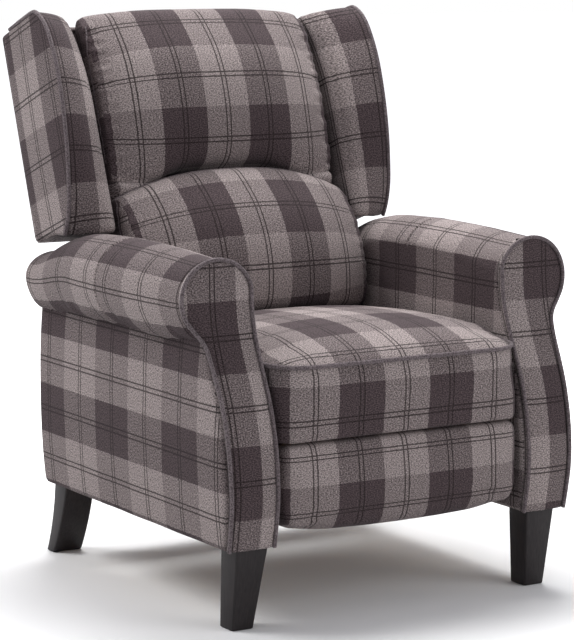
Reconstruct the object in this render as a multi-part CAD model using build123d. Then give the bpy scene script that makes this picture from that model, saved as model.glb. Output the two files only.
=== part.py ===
from build123d import *
import os
from math import acos, asin, cos, degrees, radians, sin, sqrt, tan

# Push-back wing chair with a fold-out footrest, in millimetres.
# X runs across the chair, -Y is its front, +Z is up, and the feet stand at z = 0.
# Left (-X) and right (+X) are those of a person who faces the chair.

# Arms: a rolled top on a straight padded side, and a facing panel on the front
arm_clear_width = 507        # between the two inner faces
arm_thickness = 91           # inner face to the seam of the outer panel
arm_bottom_z = 141
arm_rear_y = 261
arm_side_puff = 10           # crown of the outer panel
arm_pad_inner = 46           # padding between the inner face and the frame panel
roll_front_radius = 68
roll_mid_radius = 75
roll_centre_z = 547
roll_press = 2               # how far the cushion side flattens the roll
roll_front_y = -348
roll_mid_y = -80
roll_rear_y = 247
roll_dome_y = 110            # where its rear end starts to close
roll_dome_radius = 66
roll_dome_turns = (0, 35, 62, 82)    # turns of the elliptical dome where its cones meet, degrees
arm_rear_round = 60          # rounding of the inner arm's rear top corner
belly_y = -435               # furthest point of the facing
belly_z = 240
belly_radius = 380
facing_slope = 26.6          # lean of the facing between its belly and the roll, degrees
facing_hollow_radius = 240
facing_thickness = 14
welt_diameter = 10
frame_panel = 22             # plywood side panel inside the arm
arm_timber = (60, 44)        # bottom timber of the arm, width and height
arm_board = (62, 22)         # board under the roll, width and height
frame_setback = 16           # padding in front of and behind the frame panel

# Legs
front_leg_top = (60, 54)     # width and depth
front_leg_foot = (41, 43)
front_leg_inset = 50.5       # middle of its top from the arm's outer seam
front_leg_centre_y = -391
front_leg_bolt_y = -376      # behind the leg's middle, to meet the arm's timber
front_foot_shift = (5.5, 17.5)       # middle of its foot from the middle of its top
rear_leg_width = 59
rear_leg_inset = 52.5
rear_leg_top_y = (208, 258)  # front and back edge where it meets the arm
rear_leg_foot_y = (266, 295)
rear_leg_sweep = 7           # how far the sabre curve hangs in front of its chord
leg_bolt_diameter = 8
leg_bolt_length = 80
leg_bolt_in_leg = 46
bolt_play = 0.1              # radial

# Base rails between the arms
front_rail_y = -107
rail_thickness = 22
front_rail_height = 46
rear_rail_y = 200
rear_rail_height = 89
apron_rear_y = 257
apron_thickness = 14
apron_top_z = 292

# Steel links: flat bars on layers that lie side by side, pinned together
link_thickness = 4
layer_gap = 1
link_width = 18
pin_diameter = 8
pin_play = 0.1               # radial play of a running pivot
open_pin_diameter = 7
rear_open_play = 2.1         # radial play where the long link meets the rear link
front_open_play = 1.8        # radial play where the front link meets the bracket

# Swing links that carry the seat: two equal pairs, so the seat stays level
swing_length = 90
swing_lean = 42              # lean to the rear at rest, degrees
swing_foot_z = 170
front_swing_foot_y = -60
rear_swing_foot_y = 120
mechanism_rail_height = 40
mechanism_rail_z = 150
rail_tab_width = 24
bolt_head_diameter = 11
bolt_head_height = 4
bolt_diameter = 6
bolt_grip = 16

# Footrest pivots at rest, as (y, z), from the closed linkage
crank_pivot = (-290.6, 270.4)
rear_link_pivot = (-330.0, 270.1)
crank_end = (-131.7, 164.7)
rear_link_end = (-173.7, 164.9)
front_link_rear = (-193.6, 177.4)
bracket_rear = (-290.7, 200.4)
bracket_front = (-323.4, 220.5)
torque_tube_diameter = 20
torque_tube_wall = 2

# Seat
seat_frame_side_gap = 13.5   # clearance to the arm on each side
seat_frame_rail = 40
seat_frame_front_y = -400
seat_frame_rear_y = 120
seat_frame_z = 312
seat_frame_height = 24
seat_plate_depth = 30        # depth of the side plate along its top edge
seat_plate_rear_y = 130
seat_plate_front_y = -345
cushion_side_gap = 6.5
cushion_front_y = -430
cushion_hem_z = 311
cushion_front_top_z = 436
cushion_crown_z = 481
cushion_side_drop = 20
cushion_corner_radius = 45
cushion_nose = (48, 20)              # behind the front and below the crown
cushion_crown_start = (112, 2)
cushion_crown_middle = 240
cushion_rear_top = (0, 470)
cushion_rear_foot = (90, 428)
seat_spring_count = 4
back_spring_count = 3
spring_wire = 3.8
spring_width = 46
spring_pitch = 38
seat_gap = 0.3               # room left where a round or soft piece rests on its neighbour

# Footrest pad
pad_side_gap = 16.5
pad_thickness = 55
pad_bottom_z = 151
pad_top_z = 308
pad_crown = 7
pad_corner_radius = 24
pad_board = 12
pad_board_inset = 14
bracket_flange_z = (192, 252)

# Back, set out on its own leaning axes: n is forward from the rear face, t is up along it
back_lean = 19.6
back_foot = (176, 300)       # (y, z) of n = 0, t = 0
recline_pivot = (150, 300)   # (y, z)
recline_pin_diameter = 12
back_panel_thickness = 14
back_panel_bottom_t = 30
back_top_t = 686
back_rear_bulge = 7
back_corner_radius = 30
back_side_gap = 7.5          # clearance to the arm on each side
back_rail_thickness = 18
stile_width = 40
stile_thickness = 22
stile_bottom_t = 45
bottom_rail_height = 45
wing_rail_t = (306, 346)
top_rail_t = (634, 678)
foam_thickness = 26
foam_bottom_t = 60
bracket_top_t = 200

# Wings
wing_back_gap = 7            # from the back's side to the wing's inner face
wing_thickness = 93
wing_bottom_t = 298
wing_board = 16
wing_board_depth = 30        # under the outer face
wing_board_inset = 24
# Side views of a wing's two faces as (n, t): the foot, three front arcs by middle and end, the crest
wing_outer_foot_n = 112
wing_outer_arcs = (((160, 362), (184, 470)), ((191, 551), (181, 639)), ((168, 668), (144, 687)))
wing_outer_crest = (45, 689)
wing_inner_foot_n = 158
wing_inner_arcs = (((159, 385), (156, 470)), ((152, 560), (133, 632)), ((123, 660), (106, 681)))
wing_inner_crest = (45, 683)

# Cushions of the back
head_side_inset = 6          # from the back's side
lumbar_side_inset = 3
# Side views of a cushion at its middle and at its sides: the t of its foot and top on the foam,
# then its top arc and two front arcs, each by middle and end as (n, t)
head_middle = (388, 694, ((104, 704), (128, 694)), ((165, 640), (188, 548)),
               ((180, 465), (141, 398)))
head_edge = (396, 680, ((96, 684), (112, 678)), ((127, 620), (134, 545)),
             ((131, 465), (114, 402)))
lumbar_middle = (100, 374, ((130, 384), (172, 380)), ((222, 302), (241, 215)),
                 ((232, 150), (196, 101)))
lumbar_edge = (104, 338, ((112, 344), (142, 340)), ((176, 285), (188, 215)),
               ((182, 150), (156, 106)))


# Derived places
arm_inner_x = arm_clear_width / 2
arm_outer_x = arm_inner_x + arm_thickness
front_leg_centre_x = arm_outer_x - front_leg_inset
rear_leg_centre_x = arm_outer_x - rear_leg_inset
seat_frame_width = arm_clear_width - 2 * seat_frame_side_gap
plate_outer_x = seat_frame_width / 2     # outer face of the seat's side plate
pad_width = arm_clear_width - 2 * pad_side_gap
back_width = arm_clear_width - 2 * back_side_gap
wing_outer_x = back_width / 2 + wing_back_gap + wing_thickness
wing_board_x = wing_outer_x - wing_board_depth
head_half_width = back_width / 2 - head_side_inset
lumbar_half_width = back_width / 2 - lumbar_side_inset
roll_centre_x = arm_inner_x + roll_front_radius - roll_press
frame_inner_x = arm_inner_x + arm_pad_inner
frame_outer_x = frame_inner_x + frame_panel
layer_pitch = link_thickness + layer_gap
seat_frame_top_z = seat_frame_z + seat_frame_height
cushion_half_width = arm_inner_x - cushion_side_gap
board_front_y = cushion_front_y + pad_thickness
board_rear_y = board_front_y + pad_board
stile_n = back_panel_thickness + back_rail_thickness
foam_n = stile_n + stile_thickness
pillow_n = foam_n + foam_thickness
sides = {"left": -1, "right": 1}


def box_between(x, y, z):
    """Block between two x, two y and two z values."""
    return Pos((x[0] + x[1]) / 2, (y[0] + y[1]) / 2, (z[0] + z[1]) / 2) * Box(
        x[1] - x[0], y[1] - y[0], z[1] - z[0])


def side_extrusion(face, x_from, x_to):
    """Face in the YZ plane, moved to x_from and extruded across to x_to."""
    return extrude(Pos(x_from, 0, 0) * face, x_to - x_from, dir=(1, 0, 0))


def side_face(edges):
    return make_face(Wire(edges))


def at(x, point):
    return (x, point[0], point[1])


def on_side(shape, side):
    """The right-hand piece as it stands, or its mirror image for the left."""
    return shape if sides[side] > 0 else mirror(shape, Plane.YZ)


def cross_cylinder(radius, x_from, x_to, point):
    """Round bar across the chair from x_from to x_to, about the side-view point."""
    return Pos((x_from + x_to) / 2, point[0], point[1]) * Rot(0, 90, 0) * Cylinder(
        radius, abs(x_to - x_from))


def group(shapes):
    """Separate solids that share one node."""
    return Compound([solid for shape in shapes for solid in shape.solids()])


def cord_piece(edge, diameter, across):
    """Eight-sided cord along one straight line or arc."""
    start = Plane(edge @ 0, x_dir=across, z_dir=edge % 0)
    section = start * RegularPolygon(diameter / 2, 8)
    if edge.geom_type == GeomType.LINE:
        return extrude(section, edge.length, dir=edge % 0)
    spoke = edge @ 0 - edge.arc_center
    axis = Axis(edge.arc_center, spoke.cross(edge % 0))
    return revolve(section, axis, degrees(edge.length / edge.radius))


def cord_along(edges, diameter, across):
    """Cord along lines and arcs that follow each other, with one flat side turned across."""
    return Part() + [cord_piece(edge, diameter, across) for edge in edges]


# ---------------------------------------------------------------- arms


def facing_points(offset=0):
    """Side-view points of the facing's curve, or of one parallel to it, further out by offset.

    They are its foot, belly, slope start, slope end and hollow end.
    """
    lean = radians(facing_slope)
    radius = belly_radius + offset
    axis_y = belly_y + belly_radius
    drop = belly_z - arm_bottom_z
    foot = (axis_y - sqrt(radius ** 2 - drop ** 2), arm_bottom_z)
    belly = (axis_y - radius, belly_z)
    slope_start = (axis_y - radius * cos(lean), belly_z + radius * sin(lean))
    wall_y = roll_front_y - offset
    corner_z = slope_start[1] + (wall_y - slope_start[0]) / tan(lean)
    reach = (facing_hollow_radius - offset) * tan(lean / 2)
    slope_end = (wall_y - reach * sin(lean), corner_z - reach * cos(lean))
    hollow_end = (wall_y, corner_z + reach)
    return foot, belly, slope_start, slope_end, hollow_end


def facing_edges(x, offset=0):
    """Edges of the facing's side view from its foot to where it runs straight up."""
    foot, belly, slope_start, slope_end, hollow_end = facing_points(offset)
    radius = facing_hollow_radius - offset
    half = radians(facing_slope / 2)
    hollow_mid = (hollow_end[0] - radius * (1 - cos(half)), hollow_end[1] - radius * sin(half))
    return [
        ThreePointArc(at(x, foot), at(x, belly), at(x, slope_start)),
        Line(at(x, slope_start), at(x, slope_end)),
        ThreePointArc(at(x, slope_end), at(x, hollow_mid), at(x, hollow_end)),
    ]


def arm_envelope(offset, rear_y, top_z):
    """Side view of the arm behind its facing curve, as a face in the YZ plane."""
    foot, *_, hollow_end = facing_points(offset)
    wall_top = (hollow_end[0], top_z)
    outline = facing_edges(0, offset) + [
        Line(at(0, hollow_end), at(0, wall_top)),
        Line(at(0, wall_top), (0, rear_y, top_z)),
        Line((0, rear_y, top_z), (0, rear_y, arm_bottom_z)),
        Line((0, rear_y, arm_bottom_z), at(0, foot)),
    ]
    return side_face(outline)


def roll_solid():
    """Stuffed roll, turned about its own axis, with a domed rear end."""
    front_y = roll_front_y + facing_thickness
    dome_length = roll_rear_y - roll_dome_y
    crest = [(front_y, roll_front_radius), (roll_mid_y, roll_mid_radius)]
    crest += [(roll_dome_y + dome_length * sin(radians(turn)), roll_dome_radius * cos(radians(turn)))
              for turn in roll_dome_turns]
    profile = make_face(Polyline((front_y, 0), *crest, (roll_rear_y, 0), close=True))
    turned = Rot(180, 0, 0) * revolve(profile, Axis.X)
    return Pos(roll_centre_x, 0, roll_centre_z) * Rot(0, 0, 90) * turned


def frame_solid():
    """Glued arm frame: plywood panel, bottom timber and the board under the roll."""
    back_y = arm_rear_y - frame_setback
    top_z = roll_centre_z - arm_board[1] / 2
    setback = facing_thickness + frame_setback
    panel = side_extrusion(arm_envelope(-setback, back_y, top_z), frame_inner_x, frame_outer_x)
    timber_top = (facing_points(-setback)[0][0], arm_bottom_z + arm_timber[1])
    timber = box_between((frame_outer_x - arm_timber[0], frame_outer_x), (timber_top[0], back_y),
                         (arm_bottom_z, timber_top[1]))
    board = box_between(
        (roll_centre_x - arm_board[0] / 2, roll_centre_x + arm_board[0] / 2),
        (roll_front_y + setback, roll_dome_y),
        (top_z - arm_board[1], top_z))
    return panel + timber + board


def make_arm_frame():
    bores = [Pos(x, y, arm_bottom_z) * Cylinder(
        leg_bolt_diameter / 2 + bolt_play, 2 * (leg_bolt_length - leg_bolt_in_leg))
        for x, y in leg_bolt_places()]
    return frame_solid() - bores


def make_arm_roll():
    """Roll and inner arm, stuffed as one, open below for the frame."""
    inner = side_extrusion(
        arm_envelope(-facing_thickness, arm_rear_y, roll_centre_z), arm_inner_x, frame_inner_x)
    rear_corner = inner.edges().filter_by(Axis.X).sort_by(Axis.Y)[-2:].sort_by(Axis.Z)[-1]
    inner = fillet(rear_corner, arm_rear_round)
    room = box_between((arm_inner_x, 2 * arm_outer_x), (2 * belly_y, 2 * arm_rear_y),
                       (arm_bottom_z, 2 * roll_centre_z))
    stuffing = (roll_solid() & room) + inner
    return stuffing - frame_solid()


def make_arm_side():
    """Outer panel, padded to a low crown, tucked up under the roll."""
    top_z = roll_centre_z - roll_front_radius * 0.6
    seam_x = arm_outer_x
    mid_z = (arm_bottom_z + top_z) / 2
    section = make_face(Wire([
        Line((frame_outer_x, 0, arm_bottom_z), (seam_x, 0, arm_bottom_z)),
        ThreePointArc((seam_x, 0, arm_bottom_z), (seam_x + arm_side_puff, 0, mid_z),
                      (seam_x, 0, top_z)),
        Line((seam_x, 0, top_z), (frame_outer_x, 0, top_z)),
        Line((frame_outer_x, 0, top_z), (frame_outer_x, 0, arm_bottom_z)),
    ]))
    slab = extrude(Pos(0, 2 * belly_y, 0) * section, 4 * abs(belly_y), dir=(0, 1, 0))
    envelope = side_extrusion(
        arm_envelope(-facing_thickness, arm_rear_y, top_z), frame_outer_x, 2 * arm_outer_x)
    return slab & envelope - roll_solid() - frame_solid()


def keyhole_face():
    """Front view of the facing: the round of the roll on a straight stem."""
    stem = Pos((arm_inner_x + arm_outer_x) / 2, (arm_bottom_z + roll_centre_z) / 2) * Rectangle(
        arm_outer_x - arm_inner_x, roll_centre_z - arm_bottom_z)
    disc = Pos(roll_centre_x, roll_centre_z) * Circle(roll_front_radius)
    return stem + disc


def make_arm_front():
    """Padded facing, a thin curved slab cut to the keyhole outline."""
    top_z = roll_centre_z + roll_front_radius
    reach = 2 * abs(belly_y)
    prism = Pos(0, -reach / 2, 0) * extrude(Rot(90, 0, 0) * keyhole_face(), reach, dir=(0, 1, 0))
    front = side_extrusion(arm_envelope(0, 0, top_z), 0, 2 * arm_outer_x)
    behind = side_extrusion(arm_envelope(-facing_thickness, 0, top_z), 0, 2 * arm_outer_x)
    return prism & front - behind


def hollow_y(z, offset):
    """Y of the facing's curve, or of one parallel to it, at a height within its hollow."""
    *_, hollow_end = facing_points(offset)
    radius = facing_hollow_radius - offset
    drop = max(0, hollow_end[1] - z)
    return hollow_end[0] - radius + sqrt(radius ** 2 - drop ** 2)


def make_arm_welt():
    """Piping along the edge of the facing: up the inside, over the roll, down the outside."""
    offset = welt_diameter / 2 + seat_gap
    radius = roll_front_radius

    def rim(angle):
        """Point of the roll's rim, its angle counted from the outside upwards."""
        z = roll_centre_z + radius * sin(radians(angle))
        return (roll_centre_x + radius * cos(radians(angle)), hollow_y(z, offset), z)

    foot, *_, hollow_end = facing_points(offset)
    neck_angle = -degrees(acos((arm_outer_x - roll_centre_x) / radius))
    first_angle = 180 - degrees(asin((hollow_end[1] - roll_centre_z) / radius))
    neck = rim(neck_angle)
    outside = cord_along(facing_edges(neck[0], offset), welt_diameter, (1, 0, 0))
    above_neck = box_between((roll_centre_x, 2 * neck[0]), (2 * belly_y, 0),
                             (neck[2], 2 * roll_centre_z))
    round_the_roll = [
        ThreePointArc(rim(first_angle), rim(90), rim(0)),
        ThreePointArc(rim(0), rim(neck_angle / 2), neck),
    ]
    inside = facing_edges(rim(first_angle)[0], offset)
    tuck = welt_diameter / 2 + seat_gap / 2
    cord = cord_along(inside, welt_diameter, (1, 0, 0)) + Pos(rim(first_angle)) * Sphere(tuck)
    cord += cord_along(round_the_roll, welt_diameter, (0, 1, 0))
    return cord + Pos(neck) * Sphere(tuck) + (outside - above_neck)


# ---------------------------------------------------------------- legs and base rails


def leg_bolt_places():
    rear_y = (rear_leg_top_y[0] + rear_leg_top_y[1]) / 2
    return [(front_leg_centre_x, front_leg_bolt_y), (rear_leg_centre_x, rear_y)]


def leg_bore(place):
    return Pos(place[0], place[1], arm_bottom_z) * Cylinder(
        leg_bolt_diameter / 2 + bolt_play, 2 * leg_bolt_in_leg)


def make_leg_front():
    """Square leg that tapers on its front and inner faces."""
    top = Pos(front_leg_centre_x, front_leg_centre_y, arm_bottom_z) * Rectangle(*front_leg_top)
    foot_x = front_leg_centre_x + front_foot_shift[0]
    foot_y = front_leg_centre_y + front_foot_shift[1]
    foot = Pos(foot_x, foot_y, 0) * Rectangle(*front_leg_foot)
    return loft([foot, top], ruled=True) - leg_bore(leg_bolt_places()[0])


def make_leg_rear():
    """Sabre leg that sweeps out behind the chair."""
    top_front, top_back = rear_leg_top_y
    foot_front, foot_back = rear_leg_foot_y
    mid_z = arm_bottom_z / 2
    front_mid = ((top_front + foot_front) / 2 - rear_leg_sweep, mid_z)
    back_mid = ((top_back + foot_back) / 2 - rear_leg_sweep, mid_z)
    outline = side_face([
        Line((0, foot_front, 0), (0, foot_back, 0)),
        ThreePointArc((0, foot_back, 0), at(0, back_mid), (0, top_back, arm_bottom_z)),
        Line((0, top_back, arm_bottom_z), (0, top_front, arm_bottom_z)),
        ThreePointArc((0, top_front, arm_bottom_z), at(0, front_mid), (0, foot_front, 0)),
    ])
    half = rear_leg_width / 2
    leg = side_extrusion(outline, rear_leg_centre_x - half, rear_leg_centre_x + half)
    return leg - leg_bore(leg_bolt_places()[1])


def rail_bolt_places():
    """Bolt axes as (x, y of the tab's face, direction of the shank, z)."""
    tab_x = plate_outer_x + layer_pitch * 2 - rail_tab_width / 2
    front_face = front_rail_y + rail_thickness + link_thickness
    rear_face = rear_rail_y - link_thickness
    return [(side * tab_x, y, way, swing_foot_z) for side in (-1, 1)
            for y, way in ((front_face, -1), (rear_face, 1))]


def rail_shank(place, play=0):
    x, y, way, z = place
    return Pos(x, y + way * bolt_grip / 2, z) * Rot(90, 0, 0) * Cylinder(
        bolt_diameter / 2 + play, bolt_grip)


def make_frame_bolts():
    """Hanger bolts of the four legs and the hexagon bolts of the mechanism rails."""
    hangers = [Pos(side * x, y, arm_bottom_z - leg_bolt_in_leg) * Cylinder(
        leg_bolt_diameter / 2, leg_bolt_length, align=(Align.CENTER, Align.CENTER, Align.MIN))
        for side in (-1, 1) for x, y in leg_bolt_places()]
    bolts = []
    for place in rail_bolt_places():
        x, y, way, z = place
        head = Pos(x, y, z) * extrude(
            Rot(90, 0, 0) * RegularPolygon(bolt_head_diameter / 2, 6), bolt_head_height,
            dir=(0, -way, 0))
        bolts.append(head + rail_shank(place))
    return group(hangers + bolts)


def make_front_rail():
    rail = box_between((-arm_inner_x, arm_inner_x), (front_rail_y, front_rail_y + rail_thickness),
                       (arm_bottom_z, arm_bottom_z + front_rail_height))
    return rail - [rail_shank(place, bolt_play) for place in rail_bolt_places()]


def make_rear_rail():
    rail = box_between((-arm_inner_x, arm_inner_x), (rear_rail_y, rear_rail_y + rail_thickness),
                       (arm_bottom_z, arm_bottom_z + rear_rail_height))
    return rail - [rail_shank(place, bolt_play) for place in rail_bolt_places()]


def make_rear_apron():
    """Padded board that closes the base between the arms at the rear."""
    board = box_between((-arm_inner_x, arm_inner_x), (apron_rear_y - apron_thickness, apron_rear_y),
                        (arm_bottom_z, apron_top_z))
    blocks = [box_between((x, x + stile_width),
                          (rear_rail_y + rail_thickness, apron_rear_y - apron_thickness),
                          (arm_bottom_z, arm_bottom_z + front_rail_height))
              for x in (-arm_inner_x + stile_width, arm_inner_x - 2 * stile_width)]
    return board + blocks


# ---------------------------------------------------------------- links


def layer(number):
    """Inner and outer x of a link layer: 0 is the side plate, higher is further inward."""
    outer = plate_outer_x - number * layer_pitch
    return outer - link_thickness, outer


def bar_face(points, width):
    """Flat bar with round ends through two or more side-view points."""
    face = None
    for a, b in zip(points, points[1:]):
        slot = SlotCenterPoint(
            ((a[0] + b[0]) / 2, (a[1] + b[1]) / 2), b, width)
        face = slot if face is None else face + slot
    return face


def plate(face, number):
    """Side-view face as a steel plate on its layer."""
    inner_x, outer_x = layer(number)
    upright = Plane((inner_x, 0, 0), x_dir=(0, 1, 0), z_dir=(1, 0, 0)) * face
    return extrude(upright, outer_x - inner_x, dir=(1, 0, 0))


def pin(point, number_from, number_to, diameter=pin_diameter):
    """Rivet that starts in one layer and ends flush with the far face of another."""
    ends = layer(number_from) + layer(number_to)
    return cross_cylinder(diameter / 2, min(ends), max(ends), point)


def bore(point, number, play=pin_play, diameter=pin_diameter):
    """Hole for a pin through one layer, with radial play."""
    inner_x, outer_x = layer(number)
    return cross_cylinder(diameter / 2 + play, inner_x - layer_gap, outer_x + layer_gap, point)


def swing_top(foot_y):
    lean = radians(swing_lean)
    return (foot_y + swing_length * sin(lean), swing_foot_z + swing_length * cos(lean))


def make_mechanism_rail():
    """Steel rail of the base, with end tabs and the lower pins of the swing links."""
    inner_x, outer_x = layer(-2)
    front_y = front_rail_y + rail_thickness
    z_range = (mechanism_rail_z, mechanism_rail_z + mechanism_rail_height)
    web = box_between((inner_x, outer_x), (front_y, rear_rail_y), z_range)
    tabs = [box_between((outer_x - rail_tab_width, outer_x), y_range, z_range)
            for y_range in ((front_y, front_y + link_thickness),
                            (rear_rail_y - link_thickness, rear_rail_y))]
    pins = [pin((y, swing_foot_z), -2, -1) for y in (front_swing_foot_y, rear_swing_foot_y)]
    return web + tabs + pins - [rail_shank(place, bolt_play) for place in rail_bolt_places()]


def make_swing_link(foot_y):
    foot = (foot_y, swing_foot_z)
    top = swing_top(foot_y)
    return plate(bar_face([foot, top], link_width), -1) - bore(foot, -1) - bore(top, -1)


def make_swing_links(foot_y):
    """Left and right swing link of one pair."""
    return group([on_side(make_swing_link(foot_y), side) for side in sides])


def make_seat_side_plate():
    """Side plate that carries the seat, the footrest linkage and the hinge of the back."""
    edge_z = seat_frame_z - seat_plate_depth / 2
    front = (seat_plate_front_y + seat_plate_depth / 2, edge_z)
    rear = (seat_plate_rear_y, edge_z)
    face = bar_face([front, rear], seat_plate_depth)
    for foot_y in (front_swing_foot_y, rear_swing_foot_y):
        top = swing_top(foot_y)
        face += bar_face([(top[0] - seat_plate_depth, edge_z), top], link_width + 6)
        face += bar_face([(min(top[0], seat_plate_rear_y), edge_z), top], link_width + 6)
    for pivot in (crank_pivot, rear_link_pivot):
        face += bar_face([(pivot[0], edge_z), pivot], link_width + 6)
    face += bar_face([(recline_pivot[0] - seat_plate_depth, edge_z), recline_pivot],
                     link_width + 12)
    web = plate(face, 0)
    outer_x = layer(0)[1]
    flange = box_between((outer_x - rail_tab_width, outer_x),
                         (seat_frame_front_y + seat_frame_rail, seat_frame_rear_y),
                         (seat_frame_z - link_thickness, seat_frame_z))
    pins = [pin(swing_top(y), -1, 0) for y in (front_swing_foot_y, rear_swing_foot_y)]
    pins += [pin(crank_pivot, 0, 1), pin(rear_link_pivot, 0, 3)]
    hinge = cross_cylinder(recline_pin_diameter / 2,
                           back_width / 2 - stile_width - link_thickness, outer_x, recline_pivot)
    room = box_between((0, outer_x), (2 * belly_y, 2 * arm_rear_y),
                       (0, recline_pivot[1] + link_width))
    keep = box_between((0, outer_x), (2 * belly_y, seat_frame_rear_y + 1),
                       (seat_frame_z, seat_frame_z + link_width))
    return (web & room - keep) + flange + pins + hinge


def make_footrest_crank():
    bar = plate(bar_face([crank_pivot, crank_end], link_width), 1)
    return bar - bore(crank_pivot, 1) + pin(crank_end, 1, 2)


def make_footrest_long_link():
    bar = plate(bar_face([crank_end, rear_link_end, bracket_rear], link_width), 2)
    return (bar - bore(crank_end, 2) + pin(bracket_rear, 2, 3)
            + pin(rear_link_end, 2, 3, open_pin_diameter))


def make_footrest_rear_link():
    bar = plate(bar_face([rear_link_pivot, rear_link_end], link_width), 3)
    return (bar - bore(rear_link_pivot, 3)
            - bore(rear_link_end, 3, rear_open_play, open_pin_diameter)
            + pin(front_link_rear, 3, 4))


def make_footrest_front_link():
    bar = plate(bar_face([front_link_rear, bracket_front], link_width), 4)
    return (bar - bore(front_link_rear, 4)
            - bore(bracket_front, 4, front_open_play, open_pin_diameter))


def make_footrest_bracket():
    """Bracket with a flange that screws to the back of the footrest board."""
    low_z, high_z = bracket_flange_z
    flange_y = board_rear_y + link_thickness
    reach = [(bracket_rear[0], bracket_rear[1]), (bracket_front[0], bracket_front[1]),
             (flange_y - link_width / 2, (low_z + high_z) / 2)]
    face = bar_face(reach, link_width)
    inner_x, outer_x = layer(3)
    web = plate(face, 3) & box_between((inner_x, outer_x), (board_rear_y, 0), (0, seat_frame_z))
    cheek = box_between((inner_x, outer_x), (board_rear_y, flange_y + link_width / 2),
                        (low_z, high_z))
    flange = box_between((outer_x - 2 * rail_tab_width, outer_x), (board_rear_y, flange_y),
                         (low_z, high_z))
    return (web + cheek + flange - bore(bracket_rear, 3)
            + pin(bracket_front, 3, 4, open_pin_diameter))


def make_torque_tube():
    """Cross tube that makes both rear links turn together."""
    half = layer(3)[0]
    tube = cross_cylinder(torque_tube_diameter / 2, -half, half, rear_link_pivot)
    return tube - cross_cylinder(torque_tube_diameter / 2 - torque_tube_wall, -half, half,
                                 rear_link_pivot)


# ---------------------------------------------------------------- seat


def zigzag_spring(length):
    """Sinuous spring from the origin along +Y: straight runs joined by three-sided turns."""
    runs = max(3, int(length / spring_pitch) // 2 * 2 + 1)
    step = (length - spring_wire) / (runs - 1)
    reach = (spring_width - spring_wire) / 2
    bend = step / 4
    points = [(-reach, spring_wire / 2)]
    for number in range(runs - 1):
        way = 1 if number % 2 == 0 else -1
        y = spring_wire / 2 + number * step
        points += [(way * (reach - bend), y), (way * reach, y + bend),
                   (way * reach, y + step - bend), (way * (reach - bend), y + step)]
    points.append((reach, length - spring_wire / 2))
    ribbon = trace(Polyline(points), spring_wire)
    return extrude(ribbon, spring_wire / 2, both=True)


def spread(count, width):
    """Centres of equally spaced copies across a clear width."""
    gap = width / count
    return [(number + 0.5) * gap - width / 2 for number in range(count)]


def make_seat_frame():
    half = seat_frame_width / 2
    z_range = (seat_frame_z, seat_frame_top_z)
    outer = box_between((-half, half), (seat_frame_front_y, seat_frame_rear_y), z_range)
    window = box_between((-half + seat_frame_rail, half - seat_frame_rail),
                         (seat_frame_front_y + seat_frame_rail,
                          seat_frame_rear_y - seat_frame_rail), z_range)
    return outer - window


def make_seat_springs():
    front_y = seat_frame_front_y + seat_frame_rail
    length = seat_frame_rear_y - seat_frame_rail - front_y
    spring = zigzag_spring(length - 2 * seat_gap)
    z = seat_frame_top_z - seat_gap - spring_wire / 2
    clear = seat_frame_width - 2 * seat_frame_rail
    return group([Pos(x, front_y + seat_gap, z) * spring
                  for x in spread(seat_spring_count, clear)])


def cushion_section(x, drop):
    """Side view of the seat cushion, its crown lowered by drop."""
    front_top = (cushion_front_y, cushion_front_top_z)
    nose_back, nose_down = cushion_nose
    start_back, start_down = cushion_crown_start
    nose = (cushion_front_y + nose_back, cushion_crown_z - nose_down - drop / 2)
    crown_front = (cushion_front_y + start_back, cushion_crown_z - start_down - drop)
    crown_mid = (cushion_front_y + cushion_crown_middle, cushion_crown_z - drop)
    rear_top = (cushion_rear_top[0], cushion_rear_top[1] - drop / 2)
    hem_y = seat_frame_front_y
    return make_face(Wire([
        Line((x, cushion_front_y, cushion_hem_z), at(x, front_top)),
        ThreePointArc(at(x, front_top), at(x, nose), at(x, crown_front)),
        ThreePointArc(at(x, crown_front), at(x, crown_mid), at(x, rear_top)),
        Line(at(x, rear_top), at(x, cushion_rear_foot)),
        Line(at(x, cushion_rear_foot), (x, cushion_rear_foot[0], seat_frame_top_z)),
        Line((x, cushion_rear_foot[0], seat_frame_top_z), (x, hem_y, seat_frame_top_z)),
        Line((x, hem_y, seat_frame_top_z), (x, hem_y, cushion_hem_z)),
        Line((x, hem_y, cushion_hem_z), (x, cushion_front_y, cushion_hem_z)),
    ]))


def rounded_plan(half_width, front, rear, radius, height):
    """Tall block with rounded front corners, seen from above."""
    block = box_between((-half_width, half_width), (front, rear), (0, height))
    corners = block.edges().filter_by(Axis.Z).sort_by(Axis.Y)[:2]
    return fillet(corners, radius)


def make_seat_cushion():
    """Box cushion with a crown and round front corners; its hem hides the frame's front."""
    half = cushion_half_width
    body = loft([cushion_section(-half, cushion_side_drop), cushion_section(0, 0),
                 cushion_section(half, cushion_side_drop)])
    plan = rounded_plan(half, cushion_front_y, cushion_rear_foot[0], cushion_corner_radius,
                        2 * cushion_crown_z)
    return body & plan


def make_seat_welt():
    """Piping along the top edge of the cushion's front border."""
    radius = cushion_corner_radius
    half = cushion_half_width - welt_diameter / 2
    front = cushion_front_y
    z = cushion_front_top_z
    bend = radius * (1 - cos(radians(45)))
    tube = cord_along([
        ThreePointArc((-half, front + radius, z), (-half + bend, front + bend, z),
                      (-half + radius, front, z)),
        Line((-half + radius, front, z), (half - radius, front, z)),
        ThreePointArc((half - radius, front, z), (half - bend, front + bend, z),
                      (half, front + radius, z)),
    ], welt_diameter, (0, 0, 1))
    return tube - make_seat_cushion()


# ---------------------------------------------------------------- footrest


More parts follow.
